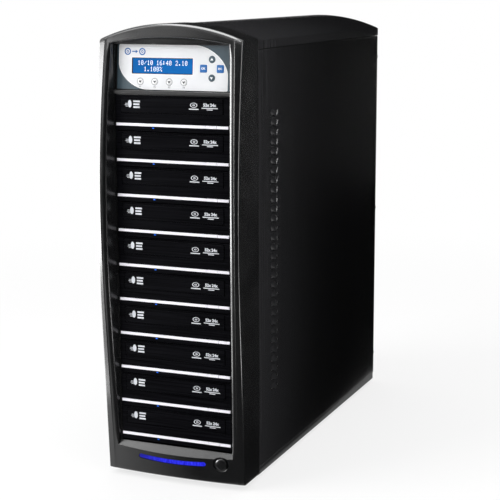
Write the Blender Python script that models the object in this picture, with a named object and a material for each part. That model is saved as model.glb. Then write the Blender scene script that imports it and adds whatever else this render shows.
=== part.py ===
"""A disc duplicator tower: ten disc drives in a domed steel case behind a bowed plastic front.

Metres, +Z up, +X to the right of someone facing the drives, +Y to the rear. The origin is on the floor
under the middle of the tower.
"""

import math

import bpy
import bmesh
from mathutils import Matrix, Vector

# Sheet metal and clearances
SHEET = 0.001
SEAM = 0.0006
FIT = 0.0003
RUN = 0.0004
OVERRUN = 0.002

# Case
CASE_SIDE_ROOM = 0.017
CASE_LENGTH = 0.461
DOME_RISE = 0.0185
SKIRT_HEIGHT = 0.0103
BAND_HEIGHT = 0.009
BAND_INSET = 0.001
PANEL_FLANGE = 0.012
PANEL_EDGE_RADIUS = 0.0015
DOME_SEGMENTS = 24

# Feet
FOOT_HEIGHT = 0.005
FOOT_RADIUS = 0.010
FOOT_TOE_RADIUS = 0.0085
FOOT_INSET = 0.034

# Louvres of a side panel
LOUVRE_COUNT = 30
LOUVRE_PITCH = 0.01171
LOUVRE_LENGTH = 0.026
LOUVRE_HEIGHT = 0.006
LOUVRE_PROUD = 0.0014
LOUVRE_END = 0.0025
LOUVRE_SKIN = 0.0005
LOUVRE_FROM_SEAM = 0.054
LOUVRE_FROM_BASE = 0.101

# Thumbscrews, captive in each side panel's rear flange
THUMBSCREW_RADIUS = 0.0048
THUMBSCREW_LENGTH = 0.006
THUMBSCREW_SEGMENTS = 14
THUMBSCREW_SHARES = (0.06, 0.5, 0.94)

# Disc drives
DRIVE_COUNT = 10
DRIVE_PITCH = 0.0423
DRIVE_WIDTH = 0.146
DRIVE_HEIGHT = 0.0413
DRIVE_DEPTH = 0.170
DRIVE_BACK_WALL = 0.012
STRIP_SIDE = 0.0007
STRIP_HEIGHT = 0.0033
STRIP_PROUD = 0.001
STRIP_DOWN = 0.0334
DOOR_SIDE = 0.0075
DOOR_HEIGHT = 0.018
DOOR_THICKNESS = 0.003
DOOR_PROUD = 0.0005
DOOR_DOWN = 0.0020
DOOR_CORNER = 0.0012

# Disc tray
TRAY_SIDE = 0.009
TRAY_BACK_ROOM = 0.020
TRAY_THICKNESS = 0.006
DISC_SIDE = 0.0035
DISC_RECESS = 0.0018
DISC_FROM_DOOR = 0.072
DISC_SEGMENTS = 32
SPINDLE_SLOT_WIDTH = 0.045
SPINDLE_SLOT_BEFORE_CENTRE = 0.020

# Eject button, in the strip
EJECT_FROM_SIDE = 0.0224
EJECT_WIDTH = 0.0142
EJECT_DEPTH = 0.0032
EJECT_TRAVEL = 0.001

# Front bezel
BEZEL_PROUD = 0.0011
BEZEL_WALL = 0.003
BEZEL_DROP = 0.001
SEAM_SETBACK = 0.0445
SILL_HEIGHT = 0.040
STACK_CLEARANCE = 0.0015
OPENING_CLEARANCE = 0.0005
BAR_HEIGHT = 0.0057
FASCIA_HEIGHT = 0.0536
LIP_ABOVE_FASCIA = 0.0065
LIP_RISE = 0.0065
EAVES_ABOVE_FASCIA = 0.0043
WINDOW_MARGIN = 0.0017
OPENING_MARGIN = 0.0007
JAMB_DEPTH = 0.010
SIDE_FLARE_SHARE = 0.32
SILL_FLARE_SHARE = 1.0
HEAD_FLARE_SHARE = 0.25

# Bow of the front: how far it stands before the drives' faces, and its fulness in plan between the rails
CREST_REACH = 0.0175
TOP_REACH = 0.0035
FOOT_REACH = 0.0020
CREST_SHARE = 0.605
BEND_SHARE = 0.36
PLAN_BOW = 0.005
RAIL_SHARE = 0.878

# Outer land of the front, which falls away to its edge, and the sunk band inside it
LAND_AT_CREST = 0.0034
LAND_TAPER = 0.0055
EDGE_FALL = 0.0010
BAND_STEP = 0.0006
TOP_ROUND = 0.0022
BEZEL_ROWS = 16
ROUND_STEPS = 3
MIDDLE_SHARES = (1.0, 0.8, 0.6, 0.4, 0.2, 0.0)

# Control fascia, tilted back with the bow
FASCIA_TILT = math.radians(4.5)
FASCIA_SETBACK = 0.003
FASCIA_THICKNESS = 0.003
DISPLAY_FROM_SIDE = 0.0211
DISPLAY_UP = 0.0015
DISPLAY_TO_PAD = 0.0244
DISPLAY_HEIGHT = 0.018
DISPLAY_SETBACK = 0.0008
BOARD_MARGIN = 0.004
BOARD_THICKNESS = 0.0016

# Keys
KEY_TRAVEL = 0.0008
KEY_PROUD = 0.0006
KEY_FLANGE = 0.0008
KEY_FLANGE_MARGIN = 0.001
PAD_FROM_SIDE = 0.0239
PAD_UP = -0.0005
PAD_STEP = 0.0106
ARROW_KEY_RADIUS = 0.0041
SQUARE_KEY_SIDE = 0.0088
SQUARE_KEY_CORNER = 0.0008
FUNCTION_KEY_RADIUS = 0.0032
FUNCTION_KEY_COUNT = 4
FUNCTION_KEY_FROM_SIDE = 0.0322
FUNCTION_KEY_TO_PAD = 0.03499
FUNCTION_KEY_DOWN = 0.0167
KEY_SEGMENTS = 20

# Light bar in the chin
LIGHT_X = -0.0027
LIGHT_HEIGHT = 0.0225
LIGHT_LENGTH = 0.0896
LIGHT_THICKNESS = 0.0055
LIGHT_SAG = 0.002
LIGHT_DEPTH = 0.006
LIGHT_SETBACK = 0.0003
LIGHT_SEGMENTS = 12
LIGHT_END_SEGMENTS = 6

# Power button in the chin
BUTTON_X = 0.0648
BUTTON_HEIGHT = 0.0242
BUTTON_RADIUS = 0.0072
BUTTON_DOME = 0.0016
BUTTON_PROUD = 0.0004
BUTTON_FLANGE_MARGIN = 0.0015
BUTTON_FLANGE = 0.0012
BUTTON_SEGMENTS = 28
DISH_RADIUS = 0.0098
DISH_DEPTH = 0.0016

# Power supply
SUPPLY_WIDTH = 0.150
SUPPLY_HEIGHT = 0.086
SUPPLY_LENGTH = 0.140
SUPPLY_WALL = 0.001
SUPPLY_LIP = 0.002
SUPPLY_FAN_X = -0.030

# Fans
FAN_SIDE = 0.080
FAN_DEPTH = 0.025
FAN_CORNER = 0.004
FAN_BORE_RADIUS = 0.0375
FAN_HUB_RADIUS = 0.0165
FAN_STRUT_WIDTH = 0.004
FAN_STRUT_THICKNESS = 0.0035
FAN_STRUT_COUNT = 4
FAN_BLADE_COUNT = 7
FAN_BLADE_CHORD = 0.0150
FAN_BLADE_THICKNESS = 0.0012
FAN_BLADE_ROOT_ANGLE = math.radians(48)
FAN_BLADE_TIP_ANGLE = math.radians(30)
FAN_TIP_CLEARANCE = 0.0012
FAN_FRONT_CLEARANCE = 0.003
FAN_SEGMENTS = 32
CASE_FAN_DOWN = 0.0977

# Stamped grille before a fan
GRILLE_RING_COUNT = 3
GRILLE_FIRST_RADIUS = 0.0140
GRILLE_RING_PITCH = 0.0088
GRILLE_SLOT = 0.0038
GRILLE_BRIDGE = 0.005
GRILLE_ARC_COUNT = 4
GRILLE_ARC_SEGMENTS = 5

# Mains inlet
INLET_X = 0.048
INLET_UP = 0.018
INLET_WIDTH = 0.0274
INLET_HEIGHT = 0.0198
INLET_DEPTH = 0.022
INLET_FLANGE = 0.0012
INLET_FLANGE_MARGIN = 0.002
INLET_WALL = 0.0015
INLET_FLOOR = 0.004
INLET_CORNER = 0.004
PIN_WIDTH = 0.002
PIN_HEIGHT = 0.004
PIN_LENGTH = 0.011
PIN_SPACING = 0.007
EARTH_PIN_UP = 0.0035

# Rocker switch
ROCKER_UP = -0.020
ROCKER_WIDTH = 0.0126
ROCKER_RADIUS = 0.0092
ROCKER_TILT = math.radians(8)
ROCKER_CORNER_ANGLE = math.radians(20)
ROCKER_PIVOT_DEPTH = 0.0022
ROCKER_SEGMENTS = 4
ROCKER_POCKET_DEPTH = 0.014

# Heights, all from the floor
BASE_Z = FOOT_HEIGHT
PAN_FLOOR_Z = BASE_Z + SHEET
BAND_TOP_Z = BASE_Z + BAND_HEIGHT
SILL_Z = BASE_Z + SILL_HEIGHT
STACK_Z = SILL_Z + STACK_CLEARANCE
STACK_TOP_Z = STACK_Z + DRIVE_COUNT * DRIVE_PITCH
OPENING_TOP_Z = STACK_TOP_Z + OPENING_CLEARANCE
FASCIA_Z = OPENING_TOP_Z + BAR_HEIGHT
FASCIA_TOP_Z = FASCIA_Z + FASCIA_HEIGHT
EAVES_Z = FASCIA_TOP_Z + EAVES_ABOVE_FASCIA
SKIRT_Z = EAVES_Z - SKIRT_HEIGHT
PANEL_TOP_Z = SKIRT_Z - SEAM
CREST_Z = BASE_Z + CREST_SHARE * (EAVES_Z - BASE_Z)

# Half widths
CASE_HALF = DRIVE_WIDTH / 2 + CASE_SIDE_ROOM
BEZEL_HALF = CASE_HALF + BEZEL_PROUD
RAIL_X = RAIL_SHARE * BEZEL_HALF
WINDOW_HALF = DRIVE_WIDTH / 2 + WINDOW_MARGIN
OPENING_HALF = DRIVE_WIDTH / 2 + OPENING_MARGIN

# Across a drive and its tray
STRIP_WIDTH = DRIVE_WIDTH - 2 * STRIP_SIDE
DOOR_WIDTH = DRIVE_WIDTH - 2 * DOOR_SIDE
TRAY_WIDTH = DRIVE_WIDTH - 2 * TRAY_SIDE
DISC_RADIUS = TRAY_WIDTH / 2 - DISC_SIDE
TRAY_LENGTH = DRIVE_DEPTH - TRAY_BACK_ROOM
EJECT_X = DRIVE_WIDTH / 2 - EJECT_FROM_SIDE

# Across the keypad
PAD_X = OPENING_HALF - PAD_FROM_SIDE
DISPLAY_LEFT_X = DISPLAY_FROM_SIDE - OPENING_HALF
DISPLAY_WIDTH = PAD_X - DISPLAY_TO_PAD - DISPLAY_LEFT_X
DISPLAY_X = DISPLAY_LEFT_X + DISPLAY_WIDTH / 2
FUNCTION_KEY_FIRST_X = FUNCTION_KEY_FROM_SIDE - OPENING_HALF
FUNCTION_KEY_LAST_X = PAD_X - FUNCTION_KEY_TO_PAD
FUNCTION_KEY_PITCH = (FUNCTION_KEY_LAST_X - FUNCTION_KEY_FIRST_X) / (FUNCTION_KEY_COUNT - 1)

# Places along the tower, with its length centred on the origin
FRONT_REACH = CREST_REACH + PLAN_BOW * (1 - RAIL_SHARE**2)
TOTAL_LENGTH = FRONT_REACH + SEAM_SETBACK + CASE_LENGTH + THUMBSCREW_LENGTH
FACE_Y = FRONT_REACH - TOTAL_LENGTH / 2
SEAM_Y = FACE_Y + SEAM_SETBACK
CASE_Y = SEAM_Y + SEAM
REAR_Y = SEAM_Y + CASE_LENGTH
REAR_PANEL_Y = REAR_Y - SHEET - FIT
SUPPLY_Y = REAR_PANEL_Y - SHEET - FIT
FRONT_CUT_Y = FACE_Y - CREST_REACH - PLAN_BOW - OVERRUN

# Colours as the eye sees them, with roughness and metallic
FINISHES = {
    "bezel_plastic": ((0.030, 0.031, 0.033), 0.38, 0.0),
    "black_steel": ((0.012, 0.012, 0.013), 0.45, 0.6),
    "plated_steel": ((0.42, 0.43, 0.44), 0.35, 1.0),
    "drive_black": ((0.010, 0.010, 0.012), 0.35, 0.3),
    "tray_plastic": ((0.022, 0.022, 0.024), 0.50, 0.0),
    "silver_trim": ((0.78, 0.78, 0.80), 0.22, 1.0),
    "fascia_grey": ((0.74, 0.75, 0.77), 0.40, 0.0),
    "display_blue": ((0.012, 0.150, 0.540), 0.15, 0.0),
    "key_slate": ((0.055, 0.120, 0.165), 0.35, 0.0),
    "key_blue": ((0.012, 0.160, 0.480), 0.30, 0.0),
    "key_light": ((0.80, 0.80, 0.82), 0.35, 0.0),
    "light_blue": ((0.020, 0.030, 0.900), 0.12, 0.0),
    "fan_black": ((0.014, 0.014, 0.015), 0.42, 0.0),
    "foot_rubber": ((0.015, 0.015, 0.015), 0.85, 0.0),
}


# Meshes and objects


def clear_scene():
    """Start from an empty scene."""
    for old in list(bpy.data.objects):
        bpy.data.objects.remove(old, do_unlink=True)


def finish(name):
    """The material of this finish, made once."""
    material = bpy.data.materials.get(name)
    if material:
        return material
    colour, roughness, metallic = FINISHES[name]
    material = bpy.data.materials.new(name)
    material.use_nodes = True
    shader = material.node_tree.nodes["Principled BSDF"]
    shader.inputs["Base Color"].default_value = (*colour, 1.0)
    shader.inputs["Roughness"].default_value = roughness
    shader.inputs["Metallic"].default_value = metallic
    material.diffuse_color = (*colour, 1.0)
    return material


def piece(name, mesh, finish_name, location=(0, 0, 0), parent=None):
    """A named sub-part at its place."""
    made = bpy.data.objects.new(name, mesh)
    bpy.context.scene.collection.objects.link(made)
    made.location = location
    made.parent = parent
    if not mesh.materials:
        mesh.materials.append(finish(finish_name))
    return made


def mesh_of(shape):
    """A mesh from a bmesh, with its faces turned out."""
    bmesh.ops.recalc_face_normals(shape, faces=shape.faces)
    mesh = bpy.data.meshes.new("shape")
    shape.to_mesh(mesh)
    shape.free()
    return mesh


def loft(rings):
    """A closed solid through rings of as many points each, capped at both ends."""
    shape = bmesh.new()
    loops = [[shape.verts.new(point) for point in ring] for ring in rings]
    for lower, upper in zip(loops, loops[1:]):
        for i, corner in enumerate(lower):
            j = (i + 1) % len(lower)
            shape.faces.new((corner, lower[j], upper[j], upper[i]))
    shape.faces.new(loops[0])
    shape.faces.new(loops[-1])
    return mesh_of(shape)


def along_y(outline, start, end):
    """An outline of (x, z) points drawn out from one place along Y to another."""
    return loft([[(x, y, z) for x, z in outline] for y in (start, end)])


def along_x(outline, start, end):
    """An outline of (y, z) points drawn out from one place along X to another."""
    return loft([[(x, y, z) for y, z in outline] for x in (start, end)])


def box(low, high):
    """A block between two corners."""
    (x0, y0, z0), (x1, y1, z1) = low, high
    return along_y([(x0, z0), (x1, z0), (x1, z1), (x0, z1)], y0, y1)


def joined(meshes):
    """Several bodies in one mesh, as a tool for one cut."""
    shape = bmesh.new()
    for mesh in meshes:
        shape.from_mesh(mesh)
    made = bpy.data.meshes.new("shape")
    shape.to_mesh(made)
    shape.free()
    return made


def moved(mesh, offset):
    """A copy of the mesh at another place."""
    made = mesh.copy()
    made.transform(Matrix.Translation(Vector(offset)))
    return made


def boolean(mesh, tool, operation):
    """The mesh joined with, cut by or kept within the tool."""
    target = bpy.data.objects.new("target", mesh)
    cutter = bpy.data.objects.new("cutter", tool)
    bpy.context.scene.collection.objects.link(target)
    bpy.context.scene.collection.objects.link(cutter)
    modifier = target.modifiers.new("boolean", "BOOLEAN")
    modifier.solver = "EXACT"
    modifier.operation = operation
    modifier.object = cutter
    graph = bpy.context.evaluated_depsgraph_get()
    made = bpy.data.meshes.new_from_object(target.evaluated_get(graph))
    bpy.data.objects.remove(target)
    bpy.data.objects.remove(cutter)
    return made


def cut(mesh, *tools):
    """The mesh with each tool cut out of it."""
    for tool in tools:
        mesh = boolean(mesh, tool, "DIFFERENCE")
    return mesh


def united(mesh, *others):
    """The meshes as one body."""
    for other in others:
        mesh = boolean(mesh, other, "UNION")
    return mesh


def smooth(mesh):
    """The mesh with its round faces shaded smooth and its corners kept sharp."""
    mesh.shade_smooth()
    mesh.set_sharp_from_angle(angle=math.radians(32))
    return mesh


# Outlines


def arc(radius, start, end, segments, centre=(0, 0)):
    """Points round an arc, from one angle to another, both ends included."""
    return [
        (
            centre[0] + radius * math.cos(start + (end - start) * i / segments),
            centre[1] + radius * math.sin(start + (end - start) * i / segments),
        )
        for i in range(segments + 1)
    ]


def circle(radius, segments, centre=(0, 0)):
    """Points round a full circle."""
    return arc(radius, 0, math.tau, segments, centre)[:-1]


def rounded_rectangle(width, height, corner, centre=(0, 0), segments=2):
    """A rectangle with round corners."""
    points = []
    for quarter, (side, up) in enumerate(((1, 1), (-1, 1), (-1, -1), (1, -1))):
        middle = (centre[0] + side * (width / 2 - corner), centre[1] + up * (height / 2 - corner))
        start = quarter * math.pi / 2
        points += arc(corner, start, start + math.pi / 2, segments, middle)
    return points


def arch_height(x, half, rise):
    """Height over its springing of an arch of this half span and rise."""
    radius = (half**2 + rise**2) / (2 * rise)
    return math.sqrt(radius**2 - x**2) - (radius - rise)


def smile(length, thickness, sag):
    """A bar that hangs as a shallow arc, with round ends, as (x, z) points about its middle."""
    half = length / 2 - thickness / 2
    radius = (half**2 + sag**2) / (2 * sag)
    spread = math.asin(half / radius)
    down = -math.pi / 2
    centre = (0, radius - sag / 2)
    outer = arc(radius + thickness / 2, down - spread, down + spread, LIGHT_SEGMENTS, centre)
    inner = arc(radius - thickness / 2, down + spread, down - spread, LIGHT_SEGMENTS, centre)
    right_end = (centre[0] + radius * math.sin(spread), centre[1] - radius * math.cos(spread))
    left_end = (centre[0] - radius * math.sin(spread), right_end[1])
    right = arc(thickness / 2, down + spread, spread + math.pi / 2, LIGHT_END_SEGMENTS, right_end)
    left = arc(thickness / 2, math.pi / 2 - spread, 3 * math.pi / 2 - spread, LIGHT_END_SEGMENTS, left_end)
    return outer[:-1] + right + inner[1:-1] + left[:-1]


# Front bezel


def reach(z):
    """How far the front stands before the drives' faces at this height, without its fulness in plan."""
    if z > CREST_Z:
        share = (z - CREST_Z) / (EAVES_Z - CREST_Z)
        return CREST_REACH - (CREST_REACH - TOP_REACH) * share**2
    share = (CREST_Z - z) / (CREST_Z - BASE_Z)
    fall = share**2 if share < BEND_SHARE else BEND_SHARE * (2 * share - BEND_SHARE)
    return CREST_REACH - (CREST_REACH - FOOT_REACH) * fall / (BEND_SHARE * (2 - BEND_SHARE))


def front_y(x, z):
    """The bowed front surface, before its edges are rounded."""
    across = min(abs(x), RAIL_X) / BEZEL_HALF
    return FACE_Y - reach(z) - PLAN_BOW * (1 - across**2)


def land_width(z):
    """Width of the outer land, which is narrowest at the crest of the bow."""
    return LAND_AT_CREST + LAND_TAPER * (1 - reach(z) / CREST_REACH)


def front_columns(z, inset):
    """(x, how far behind the bowed surface) across the right half of the front, from side to middle."""
    land = land_width(z)
    edge = BEZEL_HALF - land
    columns = []
    for step in range(ROUND_STEPS, -1, -1):
        angle = math.pi / 2 * step / ROUND_STEPS
        columns.append((edge + (land - inset) * math.sin(angle), EDGE_FALL * (1 - math.cos(angle))))
    band = edge - BAND_STEP
    return columns + [(band * share, BAND_STEP) for share in MIDDLE_SHARES]


def bezel_ring(z_share, lift, back, inset):
    """One level of the bezel's solid: its front from left to right, then its back from right to left."""
    floor = BASE_Z - BEZEL_DROP + inset
    rise = TOP_ROUND if inset == 0 else 0
    half = []
    for x, behind in front_columns(BASE_Z + z_share * (EAVES_Z - BASE_Z), inset):
        top = EAVES_Z + BEZEL_PROUD - inset + arch_height(x, BEZEL_HALF, DOME_RISE)
        z = floor + z_share * (top - rise - floor)
        y = front_y(x, z) + behind + inset + rise * (1 - math.cos(lift))
        half.append((x, y, z + rise * math.sin(lift)))
    side = BEZEL_HALF - inset
    backs = [(min(x * side / half[0][0], side), back, z) for x, y, z in half]
    left_front = [(-x, y, z) for x, y, z in half]
    left_back = [(-x, y, z) for x, y, z in backs]
    return left_front + half[-2::-1] + backs + left_back[-2::-1]


def bezel_solid(inset, back):
    """The bezel as a solid bowed block with a domed top, shrunk by the inset."""
    levels = [(i / BEZEL_ROWS, 0) for i in range(BEZEL_ROWS + 1)]
    if inset == 0:
        levels += [(1, math.pi / 2 * i / ROUND_STEPS) for i in range(1, ROUND_STEPS + 1)]
    rings = [bezel_ring(share, lift, back, inset) for share, lift in levels]
    shape = bmesh.new()
    loops = [[shape.verts.new(point) for point in ring] for ring in rings]
    count = len(loops[0])
    for lower, upper in zip(loops, loops[1:]):
        for i in range(count):
            j = (i + 1) % count
            shape.faces.new((lower[i], lower[j], upper[j], upper[i]))
    for ring in (loops[0], loops[-1]):
        for i in range(count // 2 - 1):
            shape.faces.new((ring[i], ring[i + 1], ring[count - 2 - i], ring[count - 1 - i]))
    rear = [face for face in shape.faces if min(vert.co.y for vert in face.verts) > back - FIT]
    rear_face = bmesh.ops.dissolve_faces(shape, faces=rear, use_verts=False)["region"]
    bmesh.ops.triangulate(shape, faces=[face for face in shape.faces if face not in rear_face])
    return mesh_of(shape)


def window_ring(y, ahead, grow):
    """The window's outline at one place along Y, flared by how far it is ahead of the drives' faces."""
    half = WINDOW_HALF + SIDE_FLARE_SHARE * ahead + grow
    bottom = SILL_Z - SILL_FLARE_SHARE * ahead - grow
    spring = FASCIA_TOP_Z + LIP_ABOVE_FASCIA - LIP_RISE + HEAD_FLARE_SHARE * ahead + grow
    points = [(-half, y, bottom), (half, y, bottom)]
    segments = DOME_SEGMENTS // 2
    for i in range(segments + 1):
        x = half * (1 - 2 * i / segments)
        points.append((x, y, spring + arch_height(x, half, LIP_RISE)))
    return points


def front_bezel():
    """A hollow bowed moulding with a flared window, a keypad bar, a light slot and a dished button hole."""
    back = SEAM_Y
    ahead = FACE_Y - FRONT_CUT_Y
    flare = loft([window_ring(FACE_Y, 0, 0), window_ring(FRONT_CUT_Y, ahead, 0)])
    core = loft(
        [
            window_ring(FACE_Y + JAMB_DEPTH, 0, BEZEL_WALL),
            window_ring(FACE_Y, 0, BEZEL_WALL),
            window_ring(FRONT_CUT_Y, ahead, BEZEL_WALL),
        ]
    )
    hollow = cut(bezel_solid(BEZEL_WALL, back + SEAM_SETBACK), core)
    through = FACE_Y + JAMB_DEPTH + OVERRUN
    drive_opening = box(
        (-OPENING_HALF, FACE_Y - OVERRUN, SILL_Z),
        (OPENING_HALF, through, OPENING_TOP_Z),
    )
    fascia_opening = box(
        (-OPENING_HALF, FACE_Y - OVERRUN, FASCIA_Z),
        (OPENING_HALF, through, FASCIA_TOP_Z),
    )
    return smooth(
        cut(
            bezel_solid(0, back),
            hollow,
            flare,
            drive_opening,
            fascia_opening,
            light_slot(),
            button_hole(),
        )
    )


def light_outline(shrink):
    """The light bar's outline on the chin, smaller all round by this much."""
    bar = smile(LIGHT_LENGTH - 2 * shrink, LIGHT_THICKNESS - 2 * shrink, LIGHT_SAG)
    return [(LIGHT_X + x, BASE_Z + LIGHT_HEIGHT + z) for x, z in bar]


def light_slot():
    """What the light bar's slot cuts from the chin."""
    return along_y(light_outline(0), FRONT_CUT_Y, FACE_Y + JAMB_DEPTH)


def button_face_y():
    """Where the chin's surface lies at the middle of the power button."""
    return front_y(BUTTON_X, BASE_Z + BUTTON_HEIGHT) + BAND_STEP


def turned(profile, segments):
    """A solid turned about Y, from (radius, y) points that start and end on the axis."""
    shape = bmesh.new()
    points = [shape.verts.new((radius, y, 0)) for radius, y in profile]
    edges = [shape.edges.new(pair) for pair in zip(points, points[1:])]
    bmesh.ops.spin(
        shape,
        geom=points + edges,
        axis=(0, 1, 0),
        cent=(0, 0, 0),
        steps=segments,
        angle=math.tau,
        use_duplicate=False,
    )
    bmesh.ops.remove_doubles(shape, verts=shape.verts, dist=FIT / 10)
    return mesh_of(shape)


def button_hole():
    """What the power button's bore and its dish cut from the chin."""
    bore = BUTTON_RADIUS + RUN
    tool = turned(
        [
            (0, -OVERRUN),
            (DISH_RADIUS + OVERRUN * (DISH_RADIUS - bore) / DISH_DEPTH, -OVERRUN),
            (bore, DISH_DEPTH),
            (bore, SEAM_SETBACK / 2),
            (0, SEAM_SETBACK / 2),
        ],
        BUTTON_SEGMENTS,
    )
    return moved(tool, (BUTTON_X, button_face_y(), BASE_Z + BUTTON_HEIGHT))


def light_bar():
    """A lens whose front follows the chin, with a flange that stops it behind the wall."""
    bar = along_y(light_outline(FIT), FRONT_CUT_Y, FACE_Y + LIGHT_DEPTH)
    lens = boolean(bar, bezel_solid(0, SEAM_Y), "INTERSECT")
    return smooth(moved(lens, (0, LIGHT_SETBACK, 0)))


def power_button():
    """A domed button whose flange stops it behind the chin's wall."""
    rim = BUTTON_PROUD
    flange_y = BEZEL_WALL + DISH_DEPTH + FIT
    dome = [
        (BUTTON_RADIUS * math.sin(angle), -rim - BUTTON_DOME * math.cos(angle))
        for angle in (math.pi / 2 * i / ROUND_STEPS for i in range(ROUND_STEPS + 1))
    ]
    flange = BUTTON_RADIUS + BUTTON_FLANGE_MARGIN
    body = [
        (BUTTON_RADIUS, flange_y),
        (flange, flange_y),
        (flange, flange_y + BUTTON_FLANGE),
        (0, flange_y + BUTTON_FLANGE),
    ]
    return smooth(turned([(0, -rim - BUTTON_DOME)] + dome[1:] + body, BUTTON_SEGMENTS))


def add_front():
    """The bezel with its light bar and power button."""
    piece("front_bezel", front_bezel(), "bezel_plastic")
    piece("light_bar", light_bar(), "light_blue")
    place = (BUTTON_X, button_face_y(), BASE_Z + BUTTON_HEIGHT)
    piece("power_button", power_button(), "bezel_plastic", place)


# Control fascia, display and keys


def fascia_size():
    """Width and height of the tilted fascia, so that it just clears its upright opening."""
    height = FASCIA_HEIGHT - 2 * FIT - FASCIA_THICKNESS * math.sin(FASCIA_TILT)
    return 2 * (OPENING_HALF - FIT), height / math.cos(FASCIA_TILT)


def key_table():
    """Each key's name, outline about its own middle, finish and place on the fascia."""
    arrow = circle(ARROW_KEY_RADIUS, KEY_SEGMENTS)
    square = rounded_rectangle(SQUARE_KEY_SIDE, SQUARE_KEY_SIDE, SQUARE_KEY_CORNER)
    function = circle(FUNCTION_KEY_RADIUS, KEY_SEGMENTS)
    keys = [
        ("key_up", arrow, "key_slate", PAD_X, PAD_UP + PAD_STEP),
        ("key_down", arrow, "key_slate", PAD_X, PAD_UP - PAD_STEP),
        ("key_ok", square, "key_blue", PAD_X - PAD_STEP, PAD_UP),
        ("key_escape", square, "key_blue", PAD_X + PAD_STEP, PAD_UP),
    ]
    for i in range(FUNCTION_KEY_COUNT):
        x = FUNCTION_KEY_FIRST_X + i * FUNCTION_KEY_PITCH
        keys.append((f"key_function_{i + 1}", function, "key_light", x, -FUNCTION_KEY_DOWN))
    return keys


def grown(outline, margin):
    """An outline about its middle, larger by a margin."""
    points = []
    for x, z in outline:
        length = math.hypot(x, z)
        points.append((x * (1 + margin / length), z * (1 + margin / length)))
    return points


def control_fascia():
    """The plate that carries the keypad, with openings for the display and each key."""
    width, height = fascia_size()
    plate = box((-width / 2, 0, -height / 2), (width / 2, FASCIA_THICKNESS, height / 2))
    start, end = -OVERRUN, FASCIA_THICKNESS + OVERRUN
    window = box(
        (DISPLAY_X - DISPLAY_WIDTH / 2, start, DISPLAY_UP - DISPLAY_HEIGHT / 2),
        (DISPLAY_X + DISPLAY_WIDTH / 2, end, DISPLAY_UP + DISPLAY_HEIGHT / 2),
    )
    holes = [
        moved(along_y(grown(outline, FIT), start, end), (x, 0, z))
        for _, outline, _, x, z in key_table()
    ]
    return smooth(cut(plate, window, joined(holes)))


def key_flange_y():
    """Where a key's flange starts, behind the fascia."""
    return FASCIA_THICKNESS + FIT


def board_y():
    """Where the key board starts, behind the travel of the keys."""
    return key_flange_y() + KEY_FLANGE + KEY_TRAVEL + FIT


def lcd_module():
    """The display in the fascia's window, on the board that also carries the key switches."""
    width, height = fascia_size()
    across, up = width / 2 - BOARD_MARGIN, height / 2 - BOARD_MARGIN
    board = box((-across, board_y(), -up), (across, board_y() + BOARD_THICKNESS, up))
    display = box(
        (DISPLAY_X - DISPLAY_WIDTH / 2 + FIT, DISPLAY_SETBACK, DISPLAY_UP - DISPLAY_HEIGHT / 2 + FIT),
        (
            DISPLAY_X + DISPLAY_WIDTH / 2 - FIT,
            board_y() + BOARD_THICKNESS / 2,
            DISPLAY_UP + DISPLAY_HEIGHT / 2 - FIT,
        ),
    )
    return united(board, display)


def key(outline):
    """A key cap with the flange that keeps it behind the fascia."""
    flange_y = key_flange_y()
    cap = along_y(outline, -KEY_PROUD, flange_y + KEY_FLANGE / 2)
    flange = along_y(grown(outline, KEY_FLANGE_MARGIN), flange_y, flange_y + KEY_FLANGE)
    return smooth(united(cap, flange))


def add_controls():
    """The fascia, the display and the keys, all in the fascia's tilted frame."""
    frame = bpy.data.objects.new("fascia_frame", None)
    bpy.context.scene.collection.objects.link(frame)
    middle = (FASCIA_Z + FASCIA_TOP_Z) / 2
    lean = FASCIA_HEIGHT / 2 * math.tan(FASCIA_TILT)
    frame.location = (0, FACE_Y + FASCIA_SETBACK + lean, middle)
    frame.rotation_euler = (-FASCIA_TILT, 0, 0)
    piece("control_fascia", control_fascia(), "fascia_grey", parent=frame)
    piece("lcd_module", lcd_module(), "display_blue", parent=frame)
    for name, outline, finish_name, x, z in key_table():
        piece(name, key(outline), finish_name, (x, 0, z), frame)


# Disc drives


def strip_z():
    """Height of the silver strip's middle over the drive's middle."""
    return DRIVE_HEIGHT / 2 - STRIP_DOWN


def door_z():
    """Height of the tray door's middle over the drive's middle."""
    return DRIVE_HEIGHT / 2 - DOOR_DOWN - DOOR_HEIGHT / 2


def drive_body():
    """A drive's housing with its silver strip, the tray's slot and the notch for the eject button."""
    half_width, half_height = DRIVE_WIDTH / 2, DRIVE_HEIGHT / 2
    housing = box((-half_width, 0, -half_height), (half_width, DRIVE_DEPTH, half_height))
    z = strip_z()
    strip = box(
        (-STRIP_WIDTH / 2, -STRIP_PROUD, z - STRIP_HEIGHT / 2),
        (STRIP_WIDTH / 2, SHEET, z + STRIP_HEIGHT / 2),
    )
    notch = box(
        (EJECT_X - EJECT_WIDTH / 2 - FIT, -STRIP_PROUD - OVERRUN, z - STRIP_HEIGHT / 2 - FIT),
        (
            EJECT_X + EJECT_WIDTH / 2 + FIT,
            EJECT_DEPTH + EJECT_TRAVEL + FIT,
            z + STRIP_HEIGHT / 2 + FIT,
        ),
    )
    slot_half, slot_up = DOOR_WIDTH / 2 + RUN, DOOR_HEIGHT / 2 + RUN
    slot = box(
        (-slot_half, -OVERRUN, door_z() - slot_up),
        (slot_half, DRIVE_DEPTH - DRIVE_BACK_WALL, door_z() + slot_up),
    )
    return cut(united(housing, strip), slot, notch)


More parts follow.
